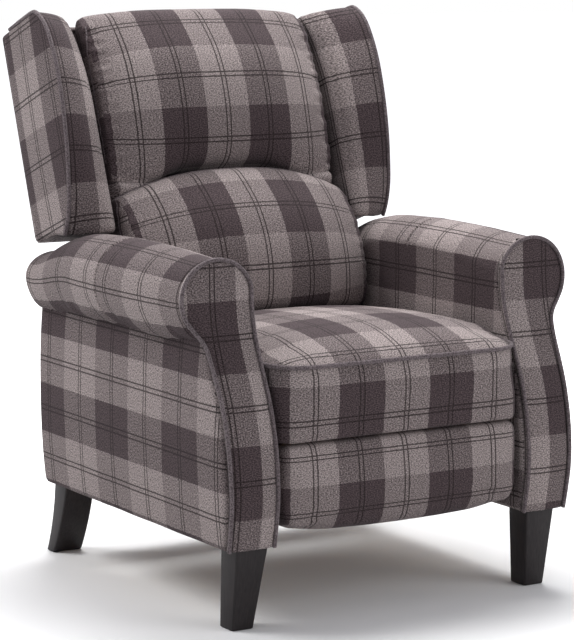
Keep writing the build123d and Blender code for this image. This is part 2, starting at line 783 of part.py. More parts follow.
def pad_section(z, crown):
    """Plan section of the footrest pad at height z."""
    half = pad_width / 2
    back = board_front_y
    edge = cushion_front_y + pad_crown
    front = cushion_front_y + pad_crown - crown
    return make_face(Wire([
        Line((half, back, z), (-half, back, z)),
        Line((-half, back, z), (-half, edge, z)),
        ThreePointArc((-half, edge, z), (0, front, z), (half, edge, z)),
        Line((half, edge, z), (half, back, z)),
    ]))


def make_footrest_pad():
    mid_z = (pad_bottom_z + pad_top_z) / 2
    body = loft([pad_section(pad_bottom_z, pad_crown / 3), pad_section(mid_z, pad_crown),
                 pad_section(pad_top_z, pad_crown / 3)])
    half = pad_width / 2
    plan = box_between((-half, half), (2 * cushion_front_y, 0), (pad_bottom_z, pad_top_z))
    corners = plan.edges().filter_by(Axis.Y).sort_by(Axis.Z)[:2]
    return body & fillet(corners, pad_corner_radius)


def make_footrest_board():
    inset = pad_board_inset
    half = pad_width / 2 - inset
    return box_between((-half, half), (board_front_y, board_rear_y),
                       (pad_bottom_z + inset, pad_top_z - inset))


# ---------------------------------------------------------------- back


def on_back(shape):
    """Stand a piece that was set out upright on the leaning axes of the back."""
    return Pos(0, *back_foot) * Rot(-back_lean, 0, 0) * shape


def nt(x, n, t):
    """Point of the upright back: n forward of the rear face, t above the foot."""
    return (x, -n, t)


def back_box(x, n, t):
    return box_between(x, (-n[1], -n[0]), t)


def back_local(point):
    """Side-view point of the chair as (n, t) of the back."""
    lean = radians(back_lean)
    dy = point[0] - back_foot[0]
    dz = point[1] - back_foot[1]
    return dz * sin(lean) - dy * cos(lean), dz * cos(lean) + dy * sin(lean)


def make_back_stile():
    half = back_width / 2
    return on_back(back_box((half - stile_width, half), (stile_n, foam_n),
                            (stile_bottom_t, top_rail_t[0])))


def make_back_wing_rail():
    """Rail behind the stiles that carries the wing boards low down."""
    return on_back(back_box((-wing_board_x, wing_board_x), (back_panel_thickness, stile_n),
                            wing_rail_t))


def make_back_top_rail():
    """Deep rail on top of the stiles, out to the wing boards."""
    return on_back(back_box((-wing_board_x, wing_board_x), (back_panel_thickness, foam_n),
                            top_rail_t))


def make_back_bottom_rail():
    half = back_width / 2 - stile_width - link_thickness
    return on_back(back_box((-half, half), (stile_n, foam_n),
                            (stile_bottom_t, stile_bottom_t + bottom_rail_height)))


def make_back_bracket():
    """Hinge plate on the inner face of a stile, bored for the seat plate's pin."""
    outer_x = back_width / 2 - stile_width
    pivot_n, pivot_t = back_local(recline_pivot)
    stile_mid = (stile_n + foam_n) / 2
    points = [(-pivot_n, pivot_t), (-stile_mid, bracket_top_t)]
    face = Plane((outer_x - link_thickness, 0, 0), x_dir=(0, 1, 0), z_dir=(1, 0, 0)) * bar_face(
        points, stile_thickness)
    web = on_back(extrude(face, link_thickness, dir=(1, 0, 0)))
    return web - cross_cylinder(recline_pin_diameter / 2 + pin_play, 0, outer_x, recline_pivot)


def make_back_springs():
    low = stile_bottom_t + bottom_rail_height + seat_gap
    spring = zigzag_spring(top_rail_t[0] - seat_gap - low)
    upright = Rot(90, 0, 0) * spring
    clear = back_width - 2 * stile_width
    y = -foam_n + seat_gap + spring_wire / 2
    return group([on_back(Pos(x, y, low) * upright) for x in spread(back_spring_count, clear)])


def make_back_foam():
    half = back_width / 2
    return on_back(back_box((-half, half), (foam_n, pillow_n), (foam_bottom_t, top_rail_t[1])))


def make_back_panel():
    """Padded outside back: wide behind the wings, narrow between the arms."""
    low = wing_bottom_t
    top = back_top_t
    shoulder = top - back_corner_radius
    bulge = back_rear_bulge
    round_in = back_corner_radius * (1 - cos(radians(45)))
    front_n = back_panel_thickness
    profile = make_face(Wire([
        Line(nt(0, front_n, low), nt(0, 0, low)),
        ThreePointArc(nt(0, 0, low), nt(0, -bulge, (low + shoulder) / 2), nt(0, -bulge, shoulder)),
        ThreePointArc(nt(0, -bulge, shoulder), nt(0, round_in - bulge, top - round_in),
                      nt(0, front_n, top)),
        Line(nt(0, front_n, top), nt(0, front_n, low)),
    ]))
    wide = side_extrusion(profile, -wing_outer_x, wing_outer_x)
    half = back_width / 2
    narrow = back_box((-half, half), (0, front_n), (back_panel_bottom_t, low))
    return on_back(wide + narrow)


def wing_outline(x, foot_n, arcs, crest):
    """Wing side view: foot, three front arcs given as (middle, end) points, top and rear."""
    rear = back_panel_thickness
    places = [(foot_n, wing_bottom_t)] + [end for middle, end in arcs]
    front = [ThreePointArc(nt(x, *start), nt(x, *middle), nt(x, *end))
             for start, (middle, end) in zip(places, arcs)]
    return make_face(Wire([
        Line(nt(x, rear, wing_bottom_t), nt(x, foot_n, wing_bottom_t)),
        *front,
        Line(nt(x, *places[-1]), nt(x, *crest)),
        Line(nt(x, *crest), nt(x, rear, back_top_t)),
        Line(nt(x, rear, back_top_t), nt(x, rear, wing_bottom_t)),
    ]))


def wing_outer_face(x):
    return wing_outline(x, wing_outer_foot_n, wing_outer_arcs, wing_outer_crest)


def wing_inner_face(x):
    return wing_outline(x, wing_inner_foot_n, wing_inner_arcs, wing_inner_crest)


def wing_board_solid():
    face = offset(wing_outer_face(0), -wing_board_inset)
    return side_extrusion(face, wing_board_x, wing_board_x + wing_board)


def make_wing_frame():
    return on_back(wing_board_solid())


def make_wing():
    """Padded wing: flat outside, and inside a slope from its front edge to the head cushion."""
    inner_x = wing_outer_x - wing_thickness
    body = loft([wing_inner_face(inner_x), wing_outer_face(wing_outer_x)], ruled=True)
    rails = [back_box((0, wing_board_x), (back_panel_thickness, rail_n), t_range)
             for rail_n, t_range in ((stile_n, wing_rail_t), (foam_n, top_rail_t))]
    return on_back(body - wing_board_solid() - rails)


def make_wing_welt():
    """Piping round the wing's outer edge: under it, up its front and over its top."""
    outline = offset(wing_outer_face(wing_outer_x - welt_diameter / 2),
                     welt_diameter / 2 + seat_gap)
    front = [edge for edge in outline.edges() if (edge @ 0.5).Y < -foam_n]
    return on_back(cord_along(front, welt_diameter, (1, 0, 0))) - make_wing()


def pillow_section(x, back_n, low, high, top, upper, lower):
    """Cushion section: flat back, top arc, two front arcs and a flat foot, as (mid, end)."""
    return make_face(Wire([
        Line(nt(x, back_n, low), nt(x, back_n, high)),
        ThreePointArc(nt(x, back_n, high), nt(x, *top[0]), nt(x, *top[1])),
        ThreePointArc(nt(x, *top[1]), nt(x, *upper[0]), nt(x, *upper[1])),
        ThreePointArc(nt(x, *upper[1]), nt(x, *lower[0]), nt(x, *lower[1])),
        Line(nt(x, *lower[1]), nt(x, back_n, low)),
    ]))


def pillow(middle, edge, half_width):
    """Crowned cushion, lofted from one thin side over its middle to the other."""
    sections = [pillow_section(x, pillow_n, *measures) for x, measures in (
        (-half_width, edge), (0, middle), (half_width, edge))]
    return loft(sections)


def make_head_cushion():
    return on_back(pillow(head_middle, head_edge, head_half_width))


def make_lumbar_cushion():
    return on_back(pillow(lumbar_middle, lumbar_edge, lumbar_half_width))


# ---------------------------------------------------------------- assembly


def all_parts():
    """Every node by name, in the frame that the sizes above are set out in."""
    paired = {
        "arm_frame": make_arm_frame(),
        "arm_roll": make_arm_roll(),
        "arm_side": make_arm_side(),
        "arm_front": make_arm_front(),
        "arm_welt": make_arm_welt(),
        "leg_front": make_leg_front(),
        "leg_rear": make_leg_rear(),
        "mechanism_rail": make_mechanism_rail(),
        "seat_side_plate": make_seat_side_plate(),
        "footrest_crank": make_footrest_crank(),
        "footrest_rear_link": make_footrest_rear_link(),
        "footrest_long_link": make_footrest_long_link(),
        "footrest_front_link": make_footrest_front_link(),
        "footrest_bracket": make_footrest_bracket(),
        "back_bracket": make_back_bracket(),
        "back_stile": make_back_stile(),
        "wing": make_wing(),
        "wing_frame": make_wing_frame(),
        "wing_welt": make_wing_welt(),
    }
    single = {
        "front_rail": make_front_rail(),
        "rear_rail": make_rear_rail(),
        "rear_apron": make_rear_apron(),
        "frame_bolts": make_frame_bolts(),
        "front_swing_links": make_swing_links(front_swing_foot_y),
        "rear_swing_links": make_swing_links(rear_swing_foot_y),
        "seat_frame": make_seat_frame(),
        "seat_springs": make_seat_springs(),
        "seat_cushion": make_seat_cushion(),
        "seat_welt": make_seat_welt(),
        "torque_tube": make_torque_tube(),
        "footrest_board": make_footrest_board(),
        "footrest_pad": make_footrest_pad(),
        "back_top_rail": make_back_top_rail(),
        "back_wing_rail": make_back_wing_rail(),
        "back_bottom_rail": make_back_bottom_rail(),
        "back_springs": make_back_springs(),
        "back_foam": make_back_foam(),
        "head_cushion": make_head_cushion(),
        "lumbar_cushion": make_lumbar_cushion(),
        "back_panel": make_back_panel(),
    }
    parts = dict(single)
    for name, shape in paired.items():
        for side in sides:
            parts[name + "_" + side] = on_side(shape, side)
    return parts


parts = all_parts()
boxes = [shape.bounding_box() for shape in parts.values()]
front_y = min(box.min.Y for box in boxes)
rear_y = max(box.max.Y for box in boxes)
centre_y = (front_y + rear_y) / 2      # the origin lies below the middle of the chair

if __name__ == "__main__":
    os.makedirs("parts", exist_ok=True)
    for name, shape in parts.items():
        export_step(Pos(0, -centre_y, 0) * shape, "parts/" + name + ".step")
    top_z = max(box.max.Z for box in boxes)
    print("nodes", len(parts), "depth", round(rear_y - front_y, 1), "height", round(top_z, 1))
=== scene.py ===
import bmesh
import bpy
import numpy as np
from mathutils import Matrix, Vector, noise
from mathutils.bvhtree import BVHTree


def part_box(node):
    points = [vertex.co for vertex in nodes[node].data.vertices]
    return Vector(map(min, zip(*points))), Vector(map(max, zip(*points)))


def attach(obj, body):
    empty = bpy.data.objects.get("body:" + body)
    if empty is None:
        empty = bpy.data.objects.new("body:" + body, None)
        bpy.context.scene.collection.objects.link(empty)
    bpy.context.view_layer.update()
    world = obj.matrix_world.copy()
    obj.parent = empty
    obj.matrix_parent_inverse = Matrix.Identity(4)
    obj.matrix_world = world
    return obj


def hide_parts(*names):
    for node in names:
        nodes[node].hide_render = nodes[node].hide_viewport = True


# Wing chair on a push-back mechanism with a fold-out footrest, dressed piece by piece in the
# order in which it is put together. Lengths are millimetres until a mesh is made.

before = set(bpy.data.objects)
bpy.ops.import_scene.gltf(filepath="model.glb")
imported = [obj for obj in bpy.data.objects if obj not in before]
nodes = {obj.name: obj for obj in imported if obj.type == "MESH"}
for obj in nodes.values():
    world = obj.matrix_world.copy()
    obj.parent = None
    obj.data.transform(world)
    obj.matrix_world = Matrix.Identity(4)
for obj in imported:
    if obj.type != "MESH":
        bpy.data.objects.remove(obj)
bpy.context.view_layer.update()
sides = {"left": -1, "right": 1}


# ---- Frame timber: rails, stiles and plywood panels.
# Planed beech rails and birch plywood panels, glued and bolted. The sawn grain runs along each
# board and shows only under the seat and between the arms.

def linear(srgb):
    """Colour for a shader socket from its sRGB hex value."""
    channels = [int(srgb[i:i + 2], 16) / 255 for i in (1, 3, 5)]
    return tuple(c / 12.92 if c <= 0.04045 else ((c + 0.055) / 1.055) ** 2.4
                 for c in channels) + (1.0,)


def new_finish(name, **constants):
    """Material with its shader's plain numbers set, and the two things its nodes are added to."""
    made = bpy.data.materials.new(name)
    made.use_nodes = True
    tree = made.node_tree
    shader = tree.nodes["Principled BSDF"]
    for words, value in constants.items():
        shader.inputs[words.replace("_", " ")].default_value = value
    return made, tree, shader


def add(tree, kind, inputs=(), **settings):
    """One node with its settings; an input takes a value or another node's output."""
    made = tree.nodes.new(kind)
    for word, value in settings.items():
        setattr(made, word, value)
    for place, value in dict(inputs).items():
        if isinstance(value, bpy.types.NodeSocket):
            tree.links.new(value, made.inputs[place])
        else:
            made.inputs[place].default_value = value
    return made


def two_tone(tree, share, low, dark, high, pale):
    """Colour that runs from dark to pale as the share goes from low to high."""
    ramp = add(tree, "ShaderNodeValToRGB", {"Fac": share})
    for end, position, colour in ((0, low, dark), (1, high, pale)):
        ramp.color_ramp.elements[end].position = position
        ramp.color_ramp.elements[end].color = linear(colour)
    return ramp.outputs["Color"]


def emboss(tree, shader, height, strength, depth):
    relief = add(tree, "ShaderNodeBump", {
        "Height": height, "Strength": strength, "Distance": depth})
    tree.links.new(relief.outputs["Normal"], shader.inputs["Normal"])


def wood_finish(name, pale, brown, grain_mm, along, **constants):
    """Sawn or planed wood: noise drawn out along the board's axis, one streak per grain width."""
    made, tree, shader = new_finish(name, **constants)
    place = add(tree, "ShaderNodeTexCoord").outputs["Object"]
    stretch = [1000 / grain_mm] * 3
    stretch[along] /= grain_length
    grain = add(tree, "ShaderNodeMapping", {"Vector": place, "Scale": stretch}).outputs["Vector"]
    streaks = add(tree, "ShaderNodeTexNoise", {
        "Vector": grain, "Scale": 1.0, "Detail": 5.0, "Distortion": 0.4}).outputs["Fac"]
    tree.links.new(two_tone(tree, streaks, 0.3, brown, 0.7, pale), shader.inputs["Base Color"])
    emboss(tree, shader, streaks, 0.25, 0.6 * mm)
    return made


def wear(names, finish):
    """Give CAD nodes that stay in view their real finish."""
    for name in names:
        mesh = nodes[name].data
        if mesh.materials:
            mesh.materials[0] = finish
        else:
            mesh.materials.append(finish)


def pair(name):
    return [f"{name}_{side}" for side in sides]


mm = 0.001
grain_length = 14                           # in widths of the grain
beech_pale, beech_brown, beech_grain, beech_rough = "#cfa878", "#a97f50", 4, 0.6
beech_across = wood_finish("planed_beech_rail", beech_pale, beech_brown, beech_grain, along=0,
                           Roughness=beech_rough)
beech_upright = wood_finish("planed_beech_stile", beech_pale, beech_brown, beech_grain, along=2,
                            Roughness=beech_rough)
plywood = wood_finish("birch_plywood", "#d8bd92", "#b99866", grain_mm=7, along=1, Roughness=0.65)
wear(["front_rail", "rear_rail", "back_top_rail", "back_wing_rail", "back_bottom_rail",
      "seat_frame", "footrest_board"], beech_across)
wear(pair("back_stile"), beech_upright)
wear(pair("arm_frame") + pair("wing_frame"), plywood)


# ---- Mechanism: links, side plates, rails, torque tube and bolts.
# Pressed steel, zinc plated and passivated: a pale satin metal with soft cloudy patches. The
# springs are oil-tempered wire, which is darker and smoother.

def metal_finish(name, bright, dull, patch_mm, smooth, rough):
    made, tree, shader = new_finish(name, Metallic=1.0)
    place = add(tree, "ShaderNodeTexCoord").outputs["Object"]
    patches = add(tree, "ShaderNodeTexNoise", {
        "Vector": place, "Scale": 1000 / patch_mm, "Detail": 6.0}).outputs["Fac"]
    tree.links.new(two_tone(tree, patches, 0.35, dull, 0.65, bright), shader.inputs["Base Color"])
    gloss = add(tree, "ShaderNodeMapRange", {
        "Value": patches, "To Min": smooth, "To Max": rough}).outputs["Result"]
    tree.links.new(gloss, shader.inputs["Roughness"])
    emboss(tree, shader, patches, 0.15, 0.3 * mm)
    return made


zinc_plate = metal_finish("zinc_plated_steel", "#b9bcc0", "#93979c", patch_mm=9,
                           smooth=0.3, rough=0.48)
spring_wire = metal_finish("oil_tempered_wire", "#6f6d6b", "#4c4a49", patch_mm=5,
                            smooth=0.28, rough=0.4)
bolt_steel = metal_finish("blackened_bolt_steel", "#5b5a5a", "#3c3b3b", patch_mm=3,
                           smooth=0.35, rough=0.5)
links = ["mechanism_rail", "seat_side_plate", "footrest_crank", "footrest_rear_link",
         "footrest_long_link", "footrest_front_link", "footrest_bracket", "back_bracket"]
wear([name for link in links for name in pair(link)]
     + ["front_swing_links", "rear_swing_links", "torque_tube"], zinc_plate)
wear(["seat_springs", "back_springs"], spring_wire)
wear(["frame_bolts"], bolt_steel)


# ---- Legs: tapered square legs in front, sabre legs behind.
# Solid rubberwood with slightly eased edges, stained near black and sprayed with satin lacquer.
# Each is screwed on its hanger bolt under the bottom timber of the arm.

drawn_rail_front = -107
row_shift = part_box("front_rail")[0].y / mm - drawn_rail_front    # drawing to row frame, along y


def in_row(points):
    """Points of the drawing in millimetres as metres in the row frame."""
    return (np.asarray(points, float) + (0, row_shift, 0)) * mm


def face_outward(mesh):
    shape = bmesh.new()
    shape.from_mesh(mesh)
    bmesh.ops.recalc_face_normals(shape, faces=shape.faces)
    shape.to_mesh(mesh)
    shape.free()


def piece(name, grids, finish, slot, body, *replaced, fill=None):
    """Closed mesh from grids of points, each row a ring, with its cloth coordinates in mm.

    A grid is (rings, cloth) or rings alone; cloth has one column more than the ring. A first ring
    that is already drawn together needs no face of its own. The piece rides on a body and stands
    for the replaced nodes. The fill is not used.
    """
    corners, faces, cloth, flat = [], [], [], []
    for grid in grids:
        rings, spread = grid if isinstance(grid, tuple) else (grid, None)
        rings = np.array(rings)
        rows, around = rings.shape[:2]
        spread = np.zeros((rows, around + 1, 2)) if spread is None else np.array(spread)
        first = len(corners)
        corners.extend(in_row(rings.reshape(-1, 3)))
        for i in range(rows - 1):
            for j in range(around):
                k = (j + 1) % around
                faces.append([first + i * around + j, first + i * around + k,
                              first + (i + 1) * around + k, first + (i + 1) * around + j])
                cloth += [spread[i, j], spread[i, j + 1], spread[i + 1, j + 1], spread[i + 1, j]]
        for row in (0, rows - 1):
            if np.ptp(rings[row][:, 0]) < 0.01:
                continue
            flat.append(len(faces))
            faces.append([first + row * around + j for j in range(around)])
            flat_on = rings[row][:, :2] * (np.sign(rings[row][0, 0]) or 1, 1)
            cloth += list(flat_on - flat_on[0] + spread[row, 0])
    mesh = bpy.data.meshes.new(name)
    mesh.from_pydata([tuple(p) for p in corners], [], faces)
    layer = mesh.uv_layers.new(name="cloth")
    layer.uv.foreach_set("vector", (np.array(cloth) * mm).astype(np.float32).ravel())
    mesh.shade_smooth()
    for face in flat:
        mesh.polygons[face].use_smooth = False
    face_outward(mesh)
    mesh.materials.append(finish)
    made = bpy.data.objects.new(name, mesh)
    bpy.context.scene.collection.objects.link(made)
    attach(made, body)
    if replaced:
        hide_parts(*replaced)


def columns(*parts):
    """Points from their coordinates, each a row of numbers or one number for all."""
    return np.column_stack(np.broadcast_arrays(*parts))


def eased_rectangle(centre, size, ease):
    """Plan of a rectangle with its four corners eased, as points x, y."""
    turns = np.radians(np.arange(0, 360, 15) + 7.5)
    reach = np.array(size) / 2 - ease
    return columns(centre[0] + np.sign(np.cos(turns)) * reach[0] + ease * np.cos(turns),
                   centre[1] + np.sign(np.sin(turns)) * reach[1] + ease * np.sin(turns))


leg_lacquer = wood_finish("satin_lacquered_leg", "#302a2b", "#201c1d", grain_mm=3, along=2,
                          Roughness=0.45, Specular_IOR_Level=0.3, Coat_Weight=0.08,
                          Coat_Roughness=0.3)
leg_height = 141
edge_ease = 4
foot_ease = 3      # the foot is narrower by this, so that its edge doesn't splinter


def leg(name, node, rows, section):
    """Loft of eased rectangles; section gives centre and size at a share of the leg's height."""
    rings = []
    for z in (0, 1.5, *np.linspace(6, leg_height - 1, rows), leg_height - 0.3):
        centre, size = section(z / leg_height)
        plan = eased_rectangle(centre, np.array(size) - (foot_ease if z == 0 else 0), edge_ease)
        rings.append(columns(*plan.T, z))
    piece(name, [rings], leg_lacquer, "leg", "base", node)


# Of the front leg: x, y, width and depth at the foot and at the top. Of the rear leg: x and width,
# where its front and its rear stand at the foot and at the top, and how far it bends forward.
front_foot, front_top = np.array((299.5, -373.5, 41, 43)), np.array((294, -391, 60, 54))
rear_leg_x, rear_leg_width = 292, 59
rear_leg_front, rear_leg_rear, rear_leg_bend = (266, 208), (295, 258), 7


def taper(up):
    x, y, width, depth = front_foot + (front_top - front_foot) * up
    return (way * x, y), (width, depth)


def sabre(up):
    bend = rear_leg_bend * 4 * up * (1 - up)
    front, rear = (np.interp(up, (0, 1), ends) - bend for ends in (rear_leg_front, rear_leg_rear))
    return (way * rear_leg_x, (front + rear) / 2), (rear_leg_width, rear - front)


for side, way in sides.items():
    leg(f"tapered_leg_{side}", f"leg_front_{side}", rows=12, section=taper)
    leg(f"sabre_leg_{side}", f"leg_rear_{side}", rows=16, section=sabre)


# ---- Upholstery cloth.
# Wool-look polyester flat weave in a grey-mauve check: light and dark bands both ways, each with
# a pair of fine dark lines. Brushed yarn gives it a matt, slightly hazy face.

warp_band, weft_band = 90.5, 122     # widths of one band, light or dark
middle_band = warp_band / 2          # puts the middle of a light band at x = 0
pale_yarn, deep_yarn, line_yarn = "#968b89", "#4b4042", "#2c2424"
weft_share = 0.38                    # the warp covers more of the face than the weft
drawn_yarn = 2.4                     # real yarns are 1.2 mm; drawn coarser so that they show
line_half_gap, line_half_width = 4.3, 1.35
line_cover = 0.84                    # a fine line lets a little of its band show through
ragged_size, ragged_reach = 3.0, 3.5    # of the uneven edges of the bands
yarn_mix = 0.3                       # how far the weft's share differs from yarn to yarn
slub_length, slub_width = 2.8, 1.7
slub_dark, slub_pale = 0.42, 1.58    # shade of single slubs


def math_node(tree, operation, *values):
    return add(tree, "ShaderNodeMath", dict(enumerate(values)), operation=operation).outputs[0]


tartan, tree, shader = new_finish("check_flat_weave", Roughness=0.9, Sheen_Weight=0.06,
                                  Sheen_Roughness=0.5, Specular_IOR_Level=0.15)
cloth_place = add(tree, "ShaderNodeUVMap", uv_map="cloth").outputs["UV"]
across_along = add(tree, "ShaderNodeSeparateXYZ", {"Vector": cloth_place})
ragged = add(tree, "ShaderNodeTexNoise", {
    "Vector": cloth_place, "Scale": 1000 / ragged_size, "Detail": 1.0}).outputs["Fac"]
stray = math_node(tree, "MULTIPLY", math_node(tree, "SUBTRACT", ragged, 0.5), ragged_reach * mm)
yarn_noise = add(tree, "ShaderNodeTexNoise", {
    "Vector": cloth_place, "Scale": 1000 / drawn_yarn, "Detail": 2.0,
    "Roughness": 0.6}).outputs["Fac"]
weft_on_top = add(tree, "ShaderNodeMapRange", {
    "Value": yarn_noise, "From Min": 0.36, "From Max": 0.64, "To Min": weft_share - yarn_mix,
    "To Max": weft_share + yarn_mix}).outputs["Result"]


def band_and_line(length, band):
    """Whether a light band shows at this length, and the two fine lines down its middle."""
    strayed = math_node(tree, "ADD", length, stray)
    light = math_node(tree, "LESS_THAN", math_node(
        tree, "FRACT", math_node(tree, "DIVIDE", strayed, 2 * band * mm)), 0.5)
    in_band = math_node(tree, "SUBTRACT", math_node(
        tree, "FRACT", math_node(tree, "DIVIDE", length, band * mm)), 0.5)
    from_middle = math_node(tree, "MULTIPLY", math_node(tree, "ABSOLUTE", in_band), band)
    from_line = math_node(tree, "ABSOLUTE", math_node(
        tree, "SUBTRACT", from_middle, line_half_gap))
    return light, math_node(tree, "LESS_THAN", from_line, line_half_width)


def blended(tree, share, first, second):
    return add(tree, "ShaderNodeMix", {0: share, 6: first, 7: second},
               data_type="RGBA").outputs[2]


warp_light, warp_line = band_and_line(across_along.outputs["X"], warp_band)
weft_light, weft_line = band_and_line(across_along.outputs["Y"], weft_band)
warp_yarn = blended(tree, warp_light, linear(deep_yarn), linear(pale_yarn))
weft_yarn = blended(tree, weft_light, linear(deep_yarn), linear(pale_yarn))
woven = blended(tree, weft_on_top, warp_yarn, weft_yarn)
lined = blended(tree, math_node(tree, "MULTIPLY", math_node(
    tree, "MAXIMUM", warp_line, weft_line), line_cover), woven, linear(line_yarn))
slub = add(tree, "ShaderNodeMapping", {
    "Vector": cloth_place, "Scale": (1000 / slub_length, 1000 / slub_width, 1)}).outputs["Vector"]
dyed = add(tree, "ShaderNodeTexNoise", {"Vector": slub, "Scale": 1.0, "Detail": 1.0})
shade = add(tree, "ShaderNodeMapRange", {
    "Value": dyed.outputs["Fac"], "From Min": 0.37, "From Max": 0.63, "To Min": slub_dark,
    "To Max": slub_pale}).outputs["Result"]
flecked = add(tree, "ShaderNodeVectorMath", {0: lined, 1: add(
    tree, "ShaderNodeCombineXYZ", {"X": shade, "Y": shade, "Z": shade}).outputs["Vector"]},
    operation="MULTIPLY").outputs["Vector"]
tree.links.new(flecked, shader.inputs["Base Color"])
emboss(tree, shader, yarn_noise, 0.22, 0.7 * mm)


# ---- Arms: roll and inner arm.
# One cover is drawn over the padded roll and down the inner face of the arm, and joined by a
# stitched seam that runs round the roll. It is gathered where it tucks in above the side panel.

def rounded(points, times=3):
    """Polyline with its corners cut, again and again, and its two ends kept."""
    path = np.asarray(points, float)
    for _ in range(times):
        cut = np.empty((2 * len(path) - 2, path.shape[1]))
        cut[0::2] = 0.75 * path[:-1] + 0.25 * path[1:]
        cut[1::2] = 0.25 * path[:-1] + 0.75 * path[1:]
        path = np.vstack([path[:1], cut[1:-1], path[-1:]])
    return path


def lengths(path):
    """Length along a polyline at each of its points."""
    return np.concatenate([[0], np.cumsum(np.linalg.norm(np.diff(path, axis=0), axis=1))])


def along(path, count):
    """Points evenly spaced along a polyline."""
    path = np.asarray(path, float)
    reach = lengths(path)
    at = np.linspace(0, reach[-1], count)
    return columns(*(np.interp(at, reach, line) for line in path.T))


def closed(values):
    """Values round a ring, with the first again at the end."""
    return np.append(values, values[0])


def upholster(name, rings, spread, body, *replaced, fill=None):
    """Piece covered in the check, from its rings and the cloth coordinates on them."""
    piece(name, [(rings, spread)], tartan, "tartan", body, *replaced, fill=fill)


def waver(points, size, seed):
    """Slow random rise and fall at points in mm, from -1 to 1, the same on every run."""
    return np.array([noise.noise(Vector(p) / size + Vector((seed, 0, 0))) for p in points])


arm_inner, arm_seam, arm_rear, arm_bottom = 253.5, 344.5, 261, 141
roll_x, roll_z = 319.5, 547
roll_front, roll_end = -336, 263
core_x = 299                             # the cover is closed inside the arm at this x
wall_corner = 60                         # radius of the upper rear corner of the inner wall
board_behind = 12                        # the covers end this far behind the facing's front
facing_line = rounded([(141, -421.9), (200, -433), (240, -435.5), (300, -430), (350, -418.5),
                       (380, -408.3), (410, -394.8), (453, -373.4), (505, -353), (560, -348),
                       (620, -348)])
roll_line = rounded([(-352, 65), (-292, 68), (-224, 72), (-119, 75), (-31, 75), (69, 71),
                     (110, 67), (180, 65), (300, 63)])
seam_y = -55
closing_start, closing_size = 234, 28    # the stuffed rear end is blunt, with a soft edge
cloth_radius = 75                        # at which the cloth's pattern runs true round the roll
wall_swell = 2.6
lip_height, lip_reach, groove_depth, groove_reach = 1.2, 7, 4.6, 2.6    # of the roll's seam
tuck_turn, tuck_reach = np.radians(-62), 0.42    # round the roll, where the cover is gathered in
tuck_depth, tuck_change, fold_depth = 5, 3.5, 2.1
hidden_cloth = (730, 780, 1150)          # cloth coordinates that no side shows


def soft_edge(distance, radius):
    """How far a face has drawn back at a distance from its edge, where the edge is rounded."""
    share = np.clip(distance / radius, 0, 1)
    return radius * (1 - np.sqrt(1 - (1 - share) ** 2))


def facing_y(z):
    return np.interp(z, *facing_line.T)


def eased_step(value, low, high):
    share = np.clip((value - low) / (high - low), 0, 1)
    return share * share * (3 - 2 * share)


def roll_radii(y):
    """Side radius, share of it that the top reaches, and height of the middle of the roll."""
    side = np.interp(y, *roll_line.T)
    side = side - soft_edge(closing_start + closing_size - y, closing_size) if y < roll_end else 1
    return side, 1 - 0.3 * eased_step(y, 130, 240), roll_z - 20 * eased_step(y, 60, 225)


def seam_dip(distance):
    """Groove of a stitched seam between its two soft lips."""
    return (lip_height * np.exp(-(distance / lip_reach) ** 2)
            - groove_depth * np.exp(-(distance / groove_reach) ** 2))


def roll_swell(y, way):
    """Radii round the roll at one station, with its seam and the folds where it tucks in."""
    radius = roll_radii(y)[0]
    gathered = np.exp(-((roll_turns - tuck_turn) / tuck_reach) ** 2)
    fold = np.sin(y / 4.3 + 2.4 * np.sin(y / 27)) + 0.6 * np.sin(y / 11 + way)
    tucked = tuck_depth + tuck_change * np.sin(y / 46)
    pucker = gathered * (fold_depth * fold + tucked) * float(radius > 50)
    return radius + pucker + seam_dip(y - seam_y) * (radius > 40)


def between_ends(heights, share):
    """Distance back, at a share of the way from the slanting front of the arm to its rear."""
    front = facing_y(heights) + board_behind
    return front + share * (arm_rear - 2 - front)


